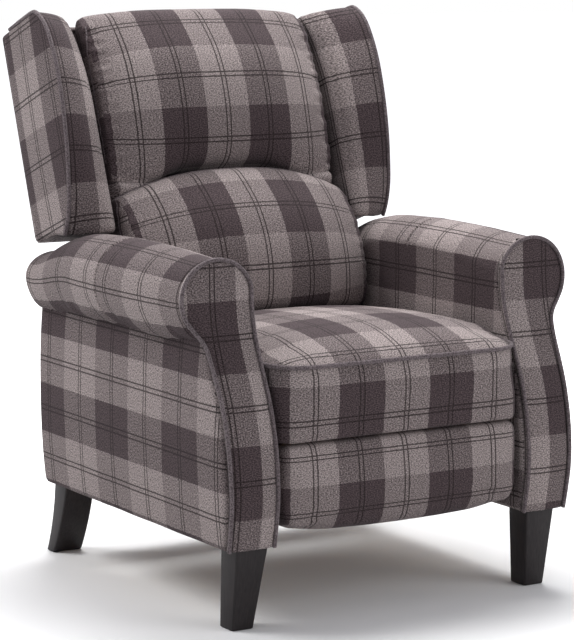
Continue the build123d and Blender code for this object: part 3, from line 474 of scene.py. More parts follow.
roll_turns = np.radians(np.linspace(-72, 180, 64))
wall_heights = np.linspace(540, 147, 40)
core_z = np.linspace(150, 460, 12)
near_seam = seam_y + np.array((-9, -6.5, -4.5, -3, -1.5, 0, 1.5, 3, 4.5, 6.5, 9))
plain_stations = [y for y in np.linspace(roll_front, closing_start, 54) if abs(y - seam_y) > 12]
closing_stations = closing_start + closing_size * np.sin(np.radians((20, 40, 55, 68, 79, 86)))
stations = np.array(sorted([*plain_stations, *near_seam, *closing_stations, roll_end]))
arm_cloth = {"left": (52, 272, 75), "right": (67, 206, 206)}   # round, before and after the seam
for side, way in sides.items():
    round_shift, front_shift, rear_shift = arm_cloth[side]
    rings, spread = [], []
    for y in stations:
        share = (y - roll_front) / (roll_end - roll_front)
        swell = roll_swell(y, way)
        _, top_share, middle_z = roll_radii(y)
        height = np.sin(roll_turns)
        roll = columns(np.maximum(roll_x + swell * np.cos(roll_turns), arm_inner - 0.6),
                       min(y, roll_end - 1.5),
                       middle_z + swell * height * np.where(height > 0, top_share, 1))
        heights = np.minimum(wall_heights, roll_z - soft_edge(arm_rear - y, wall_corner) - 2)
        puff = wall_swell * np.sin(np.pi * np.clip((heights - arm_bottom) / 400, 0, 1))
        wall = columns(arm_inner - puff, between_ends(heights, share), heights)
        lip = columns((arm_inner + 4, core_x), wall[-1, 1], arm_bottom + 0.3)
        core = columns(core_x, between_ends(core_z, share), core_z)
        ring = np.vstack([roll, wall, lip, core])
        shown = len(roll) + len(wall)
        lift = waver(ring[:shown] * (way, 1, 1), size=55, seed=3.0 + way)[:, None]
        ring[:shown] += lift * (0.9, 0, 0.5)
        across = np.concatenate([cloth_radius * roll_turns,
                                 cloth_radius * np.pi + roll_z - wall_heights,
                                 hidden_cloth[:2], hidden_cloth[1] + (core_z - arm_bottom),
                                 hidden_cloth[2:]]) + round_shift
        lengthwise = closed(ring[:, 1]) + (rear_shift if y > seam_y else front_shift)
        drawn_in = ring * (0, 1, 1) + (arm_inner + 40, 0, 0)    # the flat front, drawn together
        for part in [ring] if rings else [drawn_in, ring]:
            rings.append(part * (way, 1, 1))
            spread.append(columns(across, lengthwise))
    upholster(f"arm_cover_{side}", rings, spread, "base", f"arm_roll_{side}", fill=0.8)


# ---- Arms: stitching of the roll's seam, drawn dark as painted shade in its groove.
# Bonded nylon thread, sewn in long stitches at the bottom of the seam round the roll. Its
# near-black colour is partly painted shade: it stands for the shadow down in the seam's groove.

def tube_rings(path, radius, sides_round=10):
    """Rings about each point of a path, turned as little as possible from one to the next."""
    path = np.asarray(path, float)
    heading = np.gradient(path, axis=0)
    heading /= np.linalg.norm(heading, axis=1)[:, None]
    up = np.cross(heading[0], (0.31, 0.87, 0.38))
    turns = np.linspace(0, 2 * np.pi, sides_round, endpoint=False)
    rings = []
    for point, forward in zip(path, heading):
        up = up - forward * (up @ forward)
        up /= np.linalg.norm(up)
        beside = np.cross(forward, up)
        rings.append(point + radius * (np.cos(turns)[:, None] * up
                                       + np.sin(turns)[:, None] * beside))
    return np.array(rings)


thread_radius, thread_depth = 1.0, 2.6
thread_and_groove_shade, tree, shader = new_finish("dark_thread_painted_groove_shade", Roughness=0.5)
place = add(tree, "ShaderNodeTexCoord").outputs["Object"]
twist = add(tree, "ShaderNodeTexNoise", {"Vector": place, "Scale": 900.0}).outputs["Fac"]
# near-black: the thread's own dark colour plus painted shade of the seam's groove
tree.links.new(blended(tree, twist, linear("#171415"), linear("#3a3436")),
               shader.inputs["Base Color"])
for side, way in sides.items():
    turns = np.radians(np.linspace(-60, 150, 60))
    seam_radius = roll_radii(seam_y)[0] - thread_depth
    path = columns(way * (roll_x + seam_radius * np.cos(turns)), seam_y,
                   roll_z + seam_radius * np.sin(turns))
    stitching = tube_rings(path, thread_radius, 6)
    piece(f"roll_seam_stitching_and_shade_{side}", [stitching], thread_and_groove_shade, "welt", "base")


# ---- Arms: outer side panels.
# Cloth over wadding on the plywood, blind-tacked under the roll, drawn round the rear corner of
# the arm and stapled under it.

panel_top, panel_swell, panel_corner, panel_columns = 500, 9.5, 16, 56
board_x = 323                            # inner side of the panel's board
panel_cloth = (-330, 214)
panel_heights = (arm_bottom + 0.5, 143, 146, *np.linspace(152, 482, 44), 488, 494, 498, panel_top)
for side, way in sides.items():
    rings, spread = [], []
    for z in panel_heights:
        up = (z - arm_bottom) / (panel_top - arm_bottom)
        puff = panel_swell * (1 - abs(2 * up - 1) ** 2.4)
        hem = 3.0 * np.exp(-((z - arm_bottom) / 4) ** 2)
        face = arm_seam - 1.5 - hem + puff
        front = facing_y(z) + 13
        run = np.linspace(front, arm_rear - panel_corner, panel_columns)
        bulge = columns(face - puff * 0.55 * np.exp(-(run - front) / 14), run)
        turn = np.radians(np.linspace(0, 90, 8))
        bend = columns(face - panel_corner * (1 - np.cos(turn)),
                       arm_rear - panel_corner * (1 - np.sin(turn)))[1:]
        rear_x = np.linspace(bend[-1, 0], 257, 12)[1:]
        rear = columns(rear_x,
                       arm_rear + 2.2 * np.sin(np.pi * np.linspace(0, 1, len(rear_x))))
        inside = [(257, arm_rear - 12), (300, arm_rear - 14), (board_x, arm_rear - 18),
                  (board_x, front + 4)]
        plan = np.vstack([bulge, bend, rear, inside])
        ring = columns(*plan.T, z)
        ring[:panel_columns, 0] += 1.3 * waver(ring[:panel_columns], size=70, seed=11.0 + way)
        rings.append(ring * (way, 1, 1))
        run = lengths(plan)
        reach = front + np.append(run, run[-1] + 20)
        spread.append(columns(z + panel_cloth[0], reach + panel_cloth[1]))
    upholster(f"side_panel_{side}", rings, spread, "base", f"arm_side_{side}", fill=0.7)


# ---- Arms: front facings.
# A thin board bent to the arm's front, wadded and covered, and driven on last over the ends of
# the two covers. Its keyhole outline widens from a straight stem to the round of the roll.

facing_outer = rounded([(141, 341), (281, 344.5), (369, 344.5), (413, 345.5), (452, 347.5),
                        (476, 351), (492, 362), (505, 374)], 2)
facing_disc = 68
facing_columns, facing_swell, facing_depth = 21, 5.5, 9


def facing_outline(z):
    """Inner and outer x of the facing at a height."""
    round_z = np.clip((z - roll_z) / facing_disc, -1, 1)
    half = facing_disc * np.sqrt(1 - round_z ** 2)
    outer = max(np.interp(z, *facing_outer.T) if z < 505 else 0, roll_x + half if z > 490 else 0)
    inner = arm_inner if z < roll_z else roll_x - half
    return max(inner, arm_inner), outer


facing_heights = sorted({*np.round([
    arm_bottom + 0.5, *np.linspace(148, 500, 52),
    *(roll_z + facing_disc * np.sin(np.radians(np.arange(-42, 88.5, 3.5))))], 2)})
facing_reach = lengths(facing_line)
facing_cloth = {"left": (286, 316), "right": (-208, 394)}   # dark-to-light edges across and up
for side, way in sides.items():
    rings, spread = [], []
    for z in facing_heights:
        inner, outer = facing_outline(z)
        q = 0.5 - 0.5 * np.cos(np.pi * np.linspace(0, 1, facing_columns))
        swell = facing_swell * (1 - abs(2 * q - 1) ** 3) * min(1, (outer - inner) / 60)
        front_y = facing_y(z) + 2.5
        front_row = columns(inner + 1 + (outer - inner - 2) * q, front_y - swell)
        behind = [(outer - 1, front_y + facing_depth), (inner + 1, front_y + facing_depth)]
        plan = np.vstack([front_row, behind])
        ring = columns(*plan.T, z)
        ring[:facing_columns, 1] += 0.9 * waver(ring[:facing_columns], size=45, seed=21.0 + way)
        rings.append(ring * (way, 1, 1))
        x = closed(ring[:, 0])
        rise = np.interp((z, facing_cloth[side][1]), facing_line[:, 0], facing_reach)
        over_edge = np.append(np.zeros(facing_columns), (facing_depth, facing_depth, 0))
        outward = (x - roll_x) / facing_disc if z > 490 else np.sign(x - (inner + outer) / 2)
        spread.append(columns(
            way * (x + outward * over_edge) + facing_cloth[side][0],
            rise[0] - rise[1] + over_edge * np.clip((z - roll_z) / facing_disc, 0, 1)))
    upholster(f"facing_{side}", rings, spread, "base", f"arm_front_{side}", fill=0.6)


# ---- Arms: piping round the facings.
# A cotton cord in a bias strip of the plain grey side of the cloth, sewn along the edge of the
# facing, up the inside, over the roll and down the outside.

piping, tree, shader = new_finish("bias_cut_piping", Roughness=0.9, Sheen_Weight=0.1,
                                  Sheen_Roughness=0.5, Specular_IOR_Level=0.15)
place = add(tree, "ShaderNodeTexCoord").outputs["Object"]
yarns = add(tree, "ShaderNodeTexNoise", {
    "Vector": place, "Scale": 1000 / drawn_yarn, "Detail": 2.0}).outputs["Fac"]
patch = add(tree, "ShaderNodeTexNoise", {"Vector": place, "Scale": 1000 / 60}).outputs["Fac"]
tone = two_tone(tree, yarns, 0.38, "#514849", 0.6, "#8b8083")
tree.links.new(blended(tree, math_node(tree, "MULTIPLY", patch, 0.6), tone, linear("#4a4143")),
               shader.inputs["Base Color"])
emboss(tree, shader, yarns, 0.5, 0.8 * mm)


def welt(name, path, radius, body, node):
    places = along(path, max(24, int(lengths(path)[-1] / 6)))
    piece(name, [tube_rings(places, radius)], piping, "welt", body, node)


for side, way in sides.items():
    stem = np.linspace(arm_bottom, roll_z, 60)
    turn = np.radians(np.linspace(177, -28, 60))
    fall = np.linspace(498, arm_bottom, 60)
    x = np.concatenate([np.full(60, arm_inner + 1.5),
                        np.maximum(roll_x + facing_disc * np.cos(turn), arm_inner + 1.5),
                        [facing_outline(z)[1] for z in fall]])
    z = np.concatenate([stem, roll_z + facing_disc * np.sin(turn), fall])
    path = columns(way * x, facing_y(z) - 0.5, z)
    welt(f"facing_piping_{side}", path, 3.5, "base", f"arm_welt_{side}")


# ---- Rear apron: covered board between the arms, low behind.
# A padded board in the same cloth, tacked to the rear rail.

apron_half, apron_low, apron_high = 253, arm_bottom + 0.5, 291.5
apron_front, apron_rear, apron_ease, apron_swell = 223, 257, 6, 3
x = np.linspace(-apron_half, apron_half, 60)
q = (x + apron_half) / (2 * apron_half)
rings, spread = [], []
for z in np.linspace(apron_low, apron_high, 24):
    pull = soft_edge(min(z - apron_low, apron_high - z), apron_ease)
    up = (z - apron_low) / (apron_high - apron_low)
    crown = apron_swell * (1 - abs(2 * q - 1) ** 6) * (1 - abs(2 * up - 1) ** 4)
    turn_in = apron_ease * abs(2 * q - 1) ** 40
    rear = columns(x, apron_rear - pull + crown - apron_swell - turn_in)
    plan = np.vstack([rear[::-1], columns(x[::6], apron_front + pull)])
    rings.append(columns(*plan.T, z))
    spread.append(columns(closed(plan[:, 0]) + middle_band, z))
upholster("rear_apron_cover", rings, spread, "base", "rear_apron", fill=0.6)


# ---- Seat cushion.
# Foam in a wadding wrap with a boxed cover: a crowned top, soft nose and rounded front corners.
# Its front border hangs in front of the seat frame and ends level with it.

def edge_to_edge(half, steps, inner, count):
    """Places from -half to half: some steps in from either end, and evenly spaced between."""
    steps = np.array(steps)
    return np.concatenate([steps - half, np.linspace(-inner, inner, count), half - steps[::-1]])


def fit_between(points, lows, highs):
    """Stretch a soft form so that it just fills the room that it has."""
    low, high = points.min(0), points.max(0)
    return lows + (points - low) / (high - low) * (np.array(highs) - lows)


def evened(mesh, values, times=24):
    """Values at the vertices, averaged again and again with those of their neighbours."""
    edges = np.array([e.vertices for e in mesh.edges])
    count = np.bincount(edges.ravel(), minlength=len(values))[:, None]
    for _ in range(times):
        total = np.zeros_like(values)
        np.add.at(total, edges[:, 0], values[edges[:, 1]])
        np.add.at(total, edges[:, 1], values[edges[:, 0]])
        values = total / count
    return values


def no_longer_than(vectors, limit):
    size = np.linalg.norm(vectors, axis=1)[:, None]
    return vectors * np.minimum(1, limit / np.maximum(size, 1e-9))


swelling_kept, most_swelling, deepest_fold = 0.3, 5, 3.5


def simulate(name, rings, lows, highs, voxel, tacked):
    """Mesh of a closed loft in mm with the folds that a stuffed cover draws into.

    The loft is remeshed evenly and blown up as cloth that is held where it is tacked. The folds
    are kept in full and the swelling in part, so that the cushion keeps its measured size.
    """
    rings = np.array(rings)
    rows, around = rings.shape[:2]
    faces = [[i * around + j, i * around + (j + 1) % around, (i + 1) * around + (j + 1) % around,
              (i + 1) * around + j] for i in range(rows - 1) for j in range(around)]
    faces += [list(range(around)), list(range((rows - 1) * around, rows * around))]
    mesh = bpy.data.meshes.new(name)
    mesh.from_pydata([tuple(p * mm) for p in rings.reshape(-1, 3)], [], faces)
    face_outward(mesh)
    made = bpy.data.objects.new(name, mesh)
    bpy.context.scene.collection.objects.link(made)
    bpy.context.view_layer.objects.active = made
    remesh = made.modifiers.new("remesh", "REMESH")
    remesh.mode = "VOXEL"
    remesh.voxel_size = voxel * mm
    bpy.ops.object.modifier_apply(modifier=remesh.name)
    spots = fit_between(np.array([v.co for v in made.data.vertices]) / mm, lows, highs)
    made.data.vertices.foreach_set("co", (spots * mm).astype(np.float32).ravel())
    pins = made.vertex_groups.new(name="tacked")
    pins.add([int(i) for i in np.flatnonzero(tacked(*spots.T))], 1.0, "REPLACE")
    inflate = made.modifiers.new("inflate", "CLOTH")
    inflate.settings.vertex_group_mass = "tacked"
    inflate.settings.use_pressure = True
    inflate.settings.uniform_pressure_force = 4.0
    inflate.settings.effector_weights.gravity = 0
    inflate.settings.quality = 4
    inflate.collision_settings.use_collision = False
    inflate.point_cache.frame_end = 22
    for step in range(1, 21):
        bpy.context.scene.frame_set(step)
    blown = made.evaluated_get(bpy.context.evaluated_depsgraph_get()).to_mesh()
    moved = np.array([v.co for v in blown.vertices]) / mm - spots
    made.modifiers.remove(inflate)
    made.vertex_groups.clear()
    bpy.context.scene.frame_set(1)
    swelling = evened(made.data, moved)
    spots += (no_longer_than(swelling_kept * swelling, most_swelling)
              + no_longer_than(moved - swelling, deepest_fold))
    made.data.vertices.foreach_set("co", (spots * mm).astype(np.float32).ravel())
    divide = made.modifiers.new("divide", "SUBSURF")
    divide.levels = divide.render_levels = 1
    bpy.ops.object.modifier_apply(modifier=divide.name)
    return made, np.array([v.co for v in made.data.vertices]) / mm


def cover(made, points, cloth_of, body, node):
    """Put the final shape, in drawing mm, on a cushion, and lay the cloth over it."""
    mesh = made.data
    mesh.vertices.foreach_set("co", in_row(points).astype(np.float32).ravel())
    face_outward(mesh)
    mesh.shade_smooth()
    normals = np.array([p.normal for p in mesh.polygons])
    faces = np.repeat(np.arange(len(mesh.polygons)), [len(p.vertices) for p in mesh.polygons])
    corner = np.array([v for p in mesh.polygons for v in p.vertices])
    layer = mesh.uv_layers.new(name="cloth")
    laid = cloth_of(points[corner], normals[faces])
    layer.uv.foreach_set("vector", (laid * mm).astype(np.float32).ravel())
    mesh.materials.append(tartan)
    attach(made, body)
    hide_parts(node)


def along_profile(profile, points):
    """Length along a profile, seen from the side, of the nearest place to each point."""
    reach = lengths(profile)
    best = np.full(len(points), np.inf)
    found = np.zeros(len(points))
    for i in range(len(profile) - 1):
        run = profile[i + 1] - profile[i]
        size = run @ run
        share = np.clip((points - profile[i]) @ run / size, 0, 1)
        gap = np.linalg.norm(points - profile[i] - share[:, None] * run, axis=1)
        closer = gap < best
        best[closer] = gap[closer]
        found[closer] = reach[i] + share[closer] * np.sqrt(size)
    return found


cushion_half, corner_radius, hem_radius = 247, 60, 42    # tighter low down, over the frame
seat_front, border_low = -432, 311
border_match_z = 404              # the edge of a band lies at this height on the border
seat_profile = rounded([(-430, border_low), (-430, 372), (-431, 425), (-428, 441), (-410, 449),
                        (-378, 461), (-333, 477), (-250, 482), (-120, 479), (0, 470),
                        (60, 452), (90, 428)], 2)
seat_under = [(90, 400), (88, 338), (-60, 337), (-220, 337), (-396, 337), (-401, 330),
              (-401, 313)]
rings = []
for x in edge_to_edge(cushion_half, (0, 3, 8, 15, 24, 34, 46), 185, 17):
    off = abs(x) / cushion_half
    drop = 20 * off ** 2.6
    outline = np.vstack([along(seat_profile, 80), along(seat_under, 40)])
    radius = hem_radius + (corner_radius - hem_radius) * eased_step(outline[:, 1], 345, 405)
    high = eased_step(outline[:, 1], 434, 474)
    y = outline[:, 0] + soft_edge(cushion_half - abs(x), radius) * np.clip(
        (-outline[:, 0] - 300) / 100, 0, 1)
    pull = 4 * (off > 0.985)
    rings.append(columns(x, y, outline[:, 1] - (drop + pull) * high))
seat, points = simulate(
    "seat_cushion_cover", rings, (-cushion_half, seat_front, border_low),
    (cushion_half, 90, 482), voxel=8,
    tacked=lambda x, y, z: (z < 345) | (y > 60) | (abs(x) > cushion_half - 4))


def round_the_front(places, half, front, radius):
    """Length along a border that runs over the front and round both corners, from its middle."""
    beyond = abs(places[:, 0]) - (half - radius)
    ahead = front + radius - places[:, 1]
    bend = radius * np.arctan2(np.maximum(beyond, 0), np.maximum(ahead, 1e-6))
    run = np.where(beyond <= 0, abs(places[:, 0]), np.where(
        ahead <= 0, half - radius + radius * np.pi / 2 - ahead, half - radius + bend))
    return np.sign(places[:, 0]) * run


def seat_cloth(places, normals):
    reach = along_profile(seat_profile, places[:, 1:]) - (border_match_z - border_low)
    border = (abs(normals[:, 2]) < 0.62) & (places[:, 2] < 436)
    across = np.where(border, round_the_front(places, cushion_half, seat_front, corner_radius),
                      places[:, 0])
    lengthwise = np.where(border, places[:, 2] - border_match_z, reach)
    return columns(across + middle_band, lengthwise)


cover(seat, points, seat_cloth, "seat", "seat_cushion")


# ---- Seat cushion: piping.
# The same bias piping, sewn between the top of the cushion and its front border.

turn = np.radians(np.linspace(0, 90, 16))
left_side = [(-cushion_half + 1, -300, 447), (-cushion_half + 1, -340, 442)]
left_bend = columns(-cushion_half + 1 + corner_radius * (1 - np.cos(turn)),
                    seat_front + corner_radius * (1 - np.sin(turn)),
                    437 + 2 * (1 - np.sin(turn)))
left_bend = np.vstack([left_side, left_bend])
right_bend = (left_bend * (-1, 1, 1))[::-1]
welt("seat_piping", np.vstack([left_bend, right_bend]), 3.8, "seat", "seat_welt")


# ---- Seat: side borders.
# Strips of the cloth on the sides of the seat frame, sewn to the cushion's cover and stapled
# under the frame.

strip_z = np.array((313, 316, 336, 339))
strip_outer_x, strip_inner_x = (243.0, 244.2, 244.2, 243.0), 240.4
for side, way in sides.items():
    rings, spread = [], []
    for y in np.linspace(-392, 104, 40):
        ring = np.vstack([columns(strip_outer_x, y, strip_z),
                          columns(strip_inner_x, y, strip_z[[3, 0]])])
        rings.append(ring * (way, 1, 1))
        up = np.append(strip_z, (342, 368, 371))
        spread.append(columns(y + middle_band, up - border_match_z))
    upholster(f"seat_side_border_{side}", rings, spread, "seat")


# ---- Footrest pad.
# A board with 55 mm of foam and wadding, covered in one piece, with rounded lower corners. It hangs
# under the seat's front border and swings up with the footrest.

pad_half, pad_corner, pad_front = 237, 22, -429
pad_profile = rounded([(-376, 307), (-398, 308), (-420, 306), (-427, 296), (pad_front, 232),
                       (-428, 168), (-420, 154), (-398, 151), (-376, 152)], 2)
rings = []
for x in edge_to_edge(pad_half, (0, 2, 6, 12, 20, 30), 190, 13):
    off = abs(x) / pad_half
    outline = np.vstack([along(pad_profile, 60), along([(-375.6, 156), (-375.6, 303)], 20)])
    tuck = soft_edge(pad_half - abs(x), pad_corner)
    low = np.clip((230 - outline[:, 1]) / 75, 0, 1)
    z = outline[:, 1] + (tuck + 16 * off ** 2.5) * low - 0.25 * tuck * (outline[:, 1] > 290)
    soft = 10 * np.clip((off - 0.93) / 0.07, 0, 1) ** 2 * (outline[:, 0] < -400)
    rings.append(columns(x, outline[:, 0] + soft, z))
pad, points = simulate(
    "footrest_cover", rings, (-pad_half, -430, 151), (pad_half, -375.5, 308), voxel=7,
    tacked=lambda x, y, z: (y > -392) | (z > 302))


def pad_cloth(places, normals):
    facing_up = normals[:, 2]
    over = np.where(abs(facing_up) > 0.7, np.sign(facing_up) * (places[:, 1] - pad_front), 0)
    lengthwise = (places[:, 2] - 284) * 1.28 + weft_band / 2 + over
    across = round_the_front(places, pad_half, pad_front, 10)
    return columns(across + middle_band, lengthwise)


cover(pad, points, pad_cloth, "footrest", "footrest_pad")


# ---- Wings.
# Plywood ears on the sides of the back, wadded and covered: an almost flat outside panel, and
# inside a full slope that runs from the front edge in to the head cushion.

lean = np.radians(19.6)
back_foot_y, back_foot_z = 176, 300    # where the leaning back's own measures n and t start


def from_back(points):
    """Points x, n, t of the leaning back as points of the drawing."""
    x, n, t = np.asarray(points, float).T
    return columns(x, back_foot_y + t * np.sin(lean) - n * np.cos(lean),
                   back_foot_z + t * np.cos(lean) + n * np.sin(lean))


wing_edge = rounded([(298, 114), (330, 143), (358, 162), (425, 181), (488, 191), (551, 195),
                     (589, 194), (639, 184), (668, 169), (687, 146), (689, 140)], 2)
wing_root = rounded([(298, 160), (334, 160), (400, 158), (485, 157), (561, 154), (624, 137),
                     (660, 122), (689, 104)], 2)
wing_low, wing_high, wing_crown_run = 298, 689.5, 391
wing_heights = (*(wing_low + np.array((0.5, 2.5, 6, 12))), *np.linspace(318, 672, 52),
                *(wing_high - np.array((11.5, 7, 3.5, 1.3))))
wing_drop, wing_rise = 20, 8                # the lower end hangs in front, close over the arm
wing_out, wing_lip, wing_in = 345, 336, 255     # x outside, at the front edge and inside
wing_edge_radius, wing_swell, slope_bow = 9, 3.5, 6.5
outside_cloth, slope_cloth, back_match_t = -33, -197.5, 490


def wing_t(n, t):
    """Height along the back of a point of the wing, with its dropped and raised ends."""
    return (t + wing_rise * eased_step(t, 540, 689)
            - wing_drop * eased_step(n, 50, 150) * (1 - eased_step(t, wing_low, 390)))


for side, way in sides.items():
    rings, spread = [], []
    for t in wing_heights:
        pull = soft_edge(min(t - wing_low, wing_high - t), wing_edge_radius)
        edge_n = np.interp(t, *wing_edge.T) - pull
        root_n = np.interp(t, *wing_root.T) - pull
        crown = wing_swell * np.sin(np.pi * np.clip((t - wing_low) / wing_crown_run, 0, 1))
        outer_n = np.linspace(2 + pull, edge_n - 6, 26)
        across = (outer_n - outer_n[0]) / (outer_n[-1] - outer_n[0])
        outer = columns(wing_out - pull + crown * np.sin(np.pi * across) ** 0.7, outer_n)
        nose = [(wing_out - pull, edge_n - 2.5), (wing_out - 3 - pull, edge_n + 0.5),
                (wing_lip - pull, edge_n + 2)]
        q = np.linspace(0, 1, 20)[1:]
        slope = columns(wing_lip - pull + (wing_in + 7 - wing_lip + pull) * q,
                        edge_n + 2 + (root_n - edge_n - 2) * q + slope_bow * np.sin(np.pi * q))
        slope[-3:, 1] -= (1, 3, 7)
        inner = columns(wing_in + pull * 0.5, np.linspace(root_n - 12, 16 + pull, 14))
        rear = [(262, 9), (300, 8), (338 - pull, 5)]
        plan = np.vstack([outer, nose, slope, inner, rear])
        local = columns(*plan.T, wing_t(plan[:, 1], t))
        slope_start, slope_end = len(outer) + len(nose) - 1, len(outer) + len(nose) + len(slope)
        lift = waver(local * (way, 1, 1), size=60, seed=31.0)[:slope_end, None]
        local[:slope_end] += lift * (0.6, 1.1, 0)
        rings.append(from_back(local * (way, 1, 1)))
        over = np.append(outer_n, (edge_n + 4, edge_n + 9)) + outside_cloth
        slope_run = plan[slope_start:slope_end, 0] + slope_cloth
        inner_run = slope_run[-1] - np.append(lengths(plan[slope_end - 1:])[1:], 300)
        up = wing_t(closed(plan[:, 1]), t) - wing_rise * eased_step(t, 540, 689)
        spread.append(columns(np.concatenate([over, slope_run, inner_run]), up - back_match_t))
    upholster(f"wing_cover_{side}", rings, spread, "back", f"wing_{side}", fill=0.7)


# ---- Wings: piping.
# Bias piping in the seam between the outside panel and the slope, from under the wing, up its
# front edge and over its top.

for side, way in sides.items():
    t = np.linspace(299, 683, 90)
    front = columns(342.5, np.interp(t, *wing_edge.T) + 1.5, t)
    top = np.array([(342.5, 150, 686), (342, 138, 690), (341.5, 120, 691), (341, 80, 691.5),
                    (341, 30, 691)])
    path = rounded(np.vstack([front[::3], top]), 2) * (way, 1, 1)
    path[:, 2] = wing_t(path[:, 1], path[:, 2])
    welt(f"wing_piping_{side}", from_back(path), 3.6, "back", f"wing_welt_{side}")


# ---- Outside back.
# One wadded panel closes the rear of the back from wing to wing, with a narrower one below it
# between the arms. Their edges are turned in and blind-stitched.

def back_panel_rings(half, bottom, top, bulge, round_top, rows):
    """Rings of one panel, bottom to top, whose upper edge rolls over by round_top."""
    rings, spread = [], []
    x = -edge_to_edge(half, np.linspace(0, 14, 7), half - 22, 46)
    edge = np.clip((half - abs(x)) / 12, 0, 1)
    for t in (*(bottom + np.array((0.3, 1.5, 4, 8))), *np.linspace(bottom + 14, top - 34, rows),
              *(top - round_top * (1 - np.sin(np.radians(np.arange(10, 91, 10)))))):
        pull = 0.75 * soft_edge(t - bottom, 8)
        over = np.clip(1 - (top - t) / round_top, 0, 1)
        fall = 0.62 * soft_edge(top - t, round_top) if round_top > 10 else 6 * over
        up = np.clip((t - bottom) / (top - bottom), 0, 1)
        swell = bulge * (1 - abs(x / half) ** 5) * np.sin(np.pi * (0.12 + 0.76 * up)) ** 0.6
        rear_n = np.minimum(-swell + 7 / 12 * soft_edge(half - abs(x), 12) + pull + fall, 13)
        inner = columns(np.linspace(2 - half, half - 2, 10), 13.8)
        local = columns(*np.vstack([columns(x, rear_n), inner]).T, t)
        local[:len(x), 1] += 1.2 * waver(local[:len(x)], size=110, seed=41.0) * edge
        rings.append(from_back(local))
        spread.append(columns(closed(local[:, 0]) + middle_band, t - back_match_t))
    return rings, spread


wide_panel = back_panel_rings(half=345.5, bottom=298, top=686, bulge=7, round_top=30, rows=40)
low_panel = back_panel_rings(half=245.5, bottom=30.5, top=299, bulge=0.5, round_top=3, rows=26)
piece("outside_back", [wide_panel, low_panel], tartan, "tartan", "back", "back_panel", fill=0.5)


# ---- Inside back.
# The foam slab on the back's springs, in the same cloth. It shows only in the corners between
# the two cushions, where the head cushion's cover runs down to it.

inside_half, inside_low, inside_high = 246, 60, 678
head_match_t = 495                # the edge of a band lies at this height on the head cushion
rings, spread = [], []
for t in (*(inside_low + np.array((0.3, 2, 5, 9))), *np.linspace(80, 330, 14),
          *np.linspace(336, 412, 20), *np.linspace(430, 660, 12),
          *(inside_high - np.array((9, 5, 2, 0.3)))):
    x = -edge_to_edge(inside_half, (0, 1, 3, 6, 10), 228, 50)
    filled = eased_step(abs(x), 60, 190) * (1 - 0.5 * eased_step(abs(x), 225, 246))
    crown = 62 * filled * np.exp(-((t - 362) / 30) ** 2)
    face = (80 - soft_edge(inside_half - abs(x), 7)
            - soft_edge(min(t - inside_low, inside_high - t), 7) + crown)
    plan = np.vstack([columns(x, face),
                      columns(np.linspace(4 - inside_half, inside_half - 4, 12), 54.5)])
    rings.append(from_back(columns(*plan.T, t)))
    spread.append(columns(closed(plan[:, 0]) + middle_band, t - head_match_t))
upholster("inside_back_pad", rings, spread, "back", "back_foam", fill=0.8)


# ---- Back: top band.
# The same cloth drawn over the wadded top rail, from under the head cushion to the outside back,
# and tacked behind it.

band_half, band_foot = 252, 678.6
band_section = rounded([(12, band_foot), (12.5, 684), (24, 689.5), (50, 691.5), (74, 689),
                        (80, band_foot)], 2)
rings, spread = [], []
for x in edge_to_edge(band_half, (0, 1.5, 5, 10), 225, 24):
    near_end = np.clip(1 - (band_half - abs(x)) / 10, 0, 1)
    height = (band_section[:, 1] - band_foot) * (1 - 0.45 * near_end ** 2)
    rings.append(from_back(columns(x, band_section[:, 0], band_foot + height)))
    run = np.append(lengths(band_section), lengths(band_section)[-1] + 68)
    spread.append(columns(x + middle_band, 190 + run))
upholster("top_band", rings, spread, "back", fill=0.8)


# ---- Head cushion.
# Fibre-filled pillow across the top of the back, held between the wings: it rolls over the top
# rail above and is tucked behind the lumbar cushion below.

def pillow_rings(middle, edge, half, flatness, inset, droop=0):
    """Sections of a pillow from side to side, blended between its edge and middle outlines.

    The front of the lower edge hangs lower by the droop towards both sides.
    """
    middle, edge = np.array(middle, float), np.array(edge, float)
    rings = []
    for x in edge_to_edge(half, (0, 2, 5, 10, 18, 28), half - 42, 17):
        full = 1 - abs(x / half) ** flatness
        outline = edge + (middle - edge) * full
        ring = along(rounded(np.vstack([outline, outline[:1]]), 3), 73)[:-1]
        centre = ring.mean(0)
        thin = 0.9 if abs(x) > half - 1 else 0.965 if abs(x) > half - 3 else 1
        ring = centre + (ring - centre) * thin * (1 - inset)
        low = np.clip((500 - ring[:, 1]) / 100, 0, 1) * eased_step(ring[:, 0], 84, 130)
        ring[:, 1] -= droop * low * eased_step(abs(x), 70, 190)
        rings.append(columns(x, *ring.T))
    return rings


def side_gathers(local, half):
    """Depth of the small gathers where a pillow's front is sewn to its side gussets, in mm."""
    near = np.exp(-((half - 12 - abs(local[:, 0])) / 13) ** 2)
    up = local[:, 2] + 6 * np.sin(local[:, 2] / 31)
    return near * (2.4 + 1.5 * np.sin(up / 3.6) + 1.1 * np.sin(up / 7.7 + np.sign(local[:, 0])))


foam_face = 80.5
head_half = 240
head_middle = [(foam_face, 392), (foam_face, 690), (100, 704), (128, 696), (152, 655),
               (180, 602), (189, 545), (185, 482), (166, 420), (140, 396)]
head_edge = [(foam_face, 400), (foam_face, 684), (94, 692), (112, 686), (126, 655), (136, 605),
             (142, 545), (142, 482), (136, 420), (124, 400)]
rings = pillow_rings(head_middle, head_edge, head_half, flatness=3.2, inset=0.04, droop=36)
head, points = simulate(
    "head_cushion_cover", rings, (-head_half, foam_face, 366), (head_half, 189, 708), voxel=7,
    tacked=lambda x, n, t: (n < 95) | (abs(x) > head_half - 14))
gathers = side_gathers(points, head_half)
points[:, 0] -= np.sign(points[:, 0]) * gathers
points[:, 1] -= 0.5 * gathers
head_front = rounded([(60, 640), (80, 690), (100, 704), (128, 698), (152, 655), (180, 602),
                      (189, 545), (185, 482), (166, 420), (140, 396), (110, 384),
                      (60, 380)], 2)[::-1]


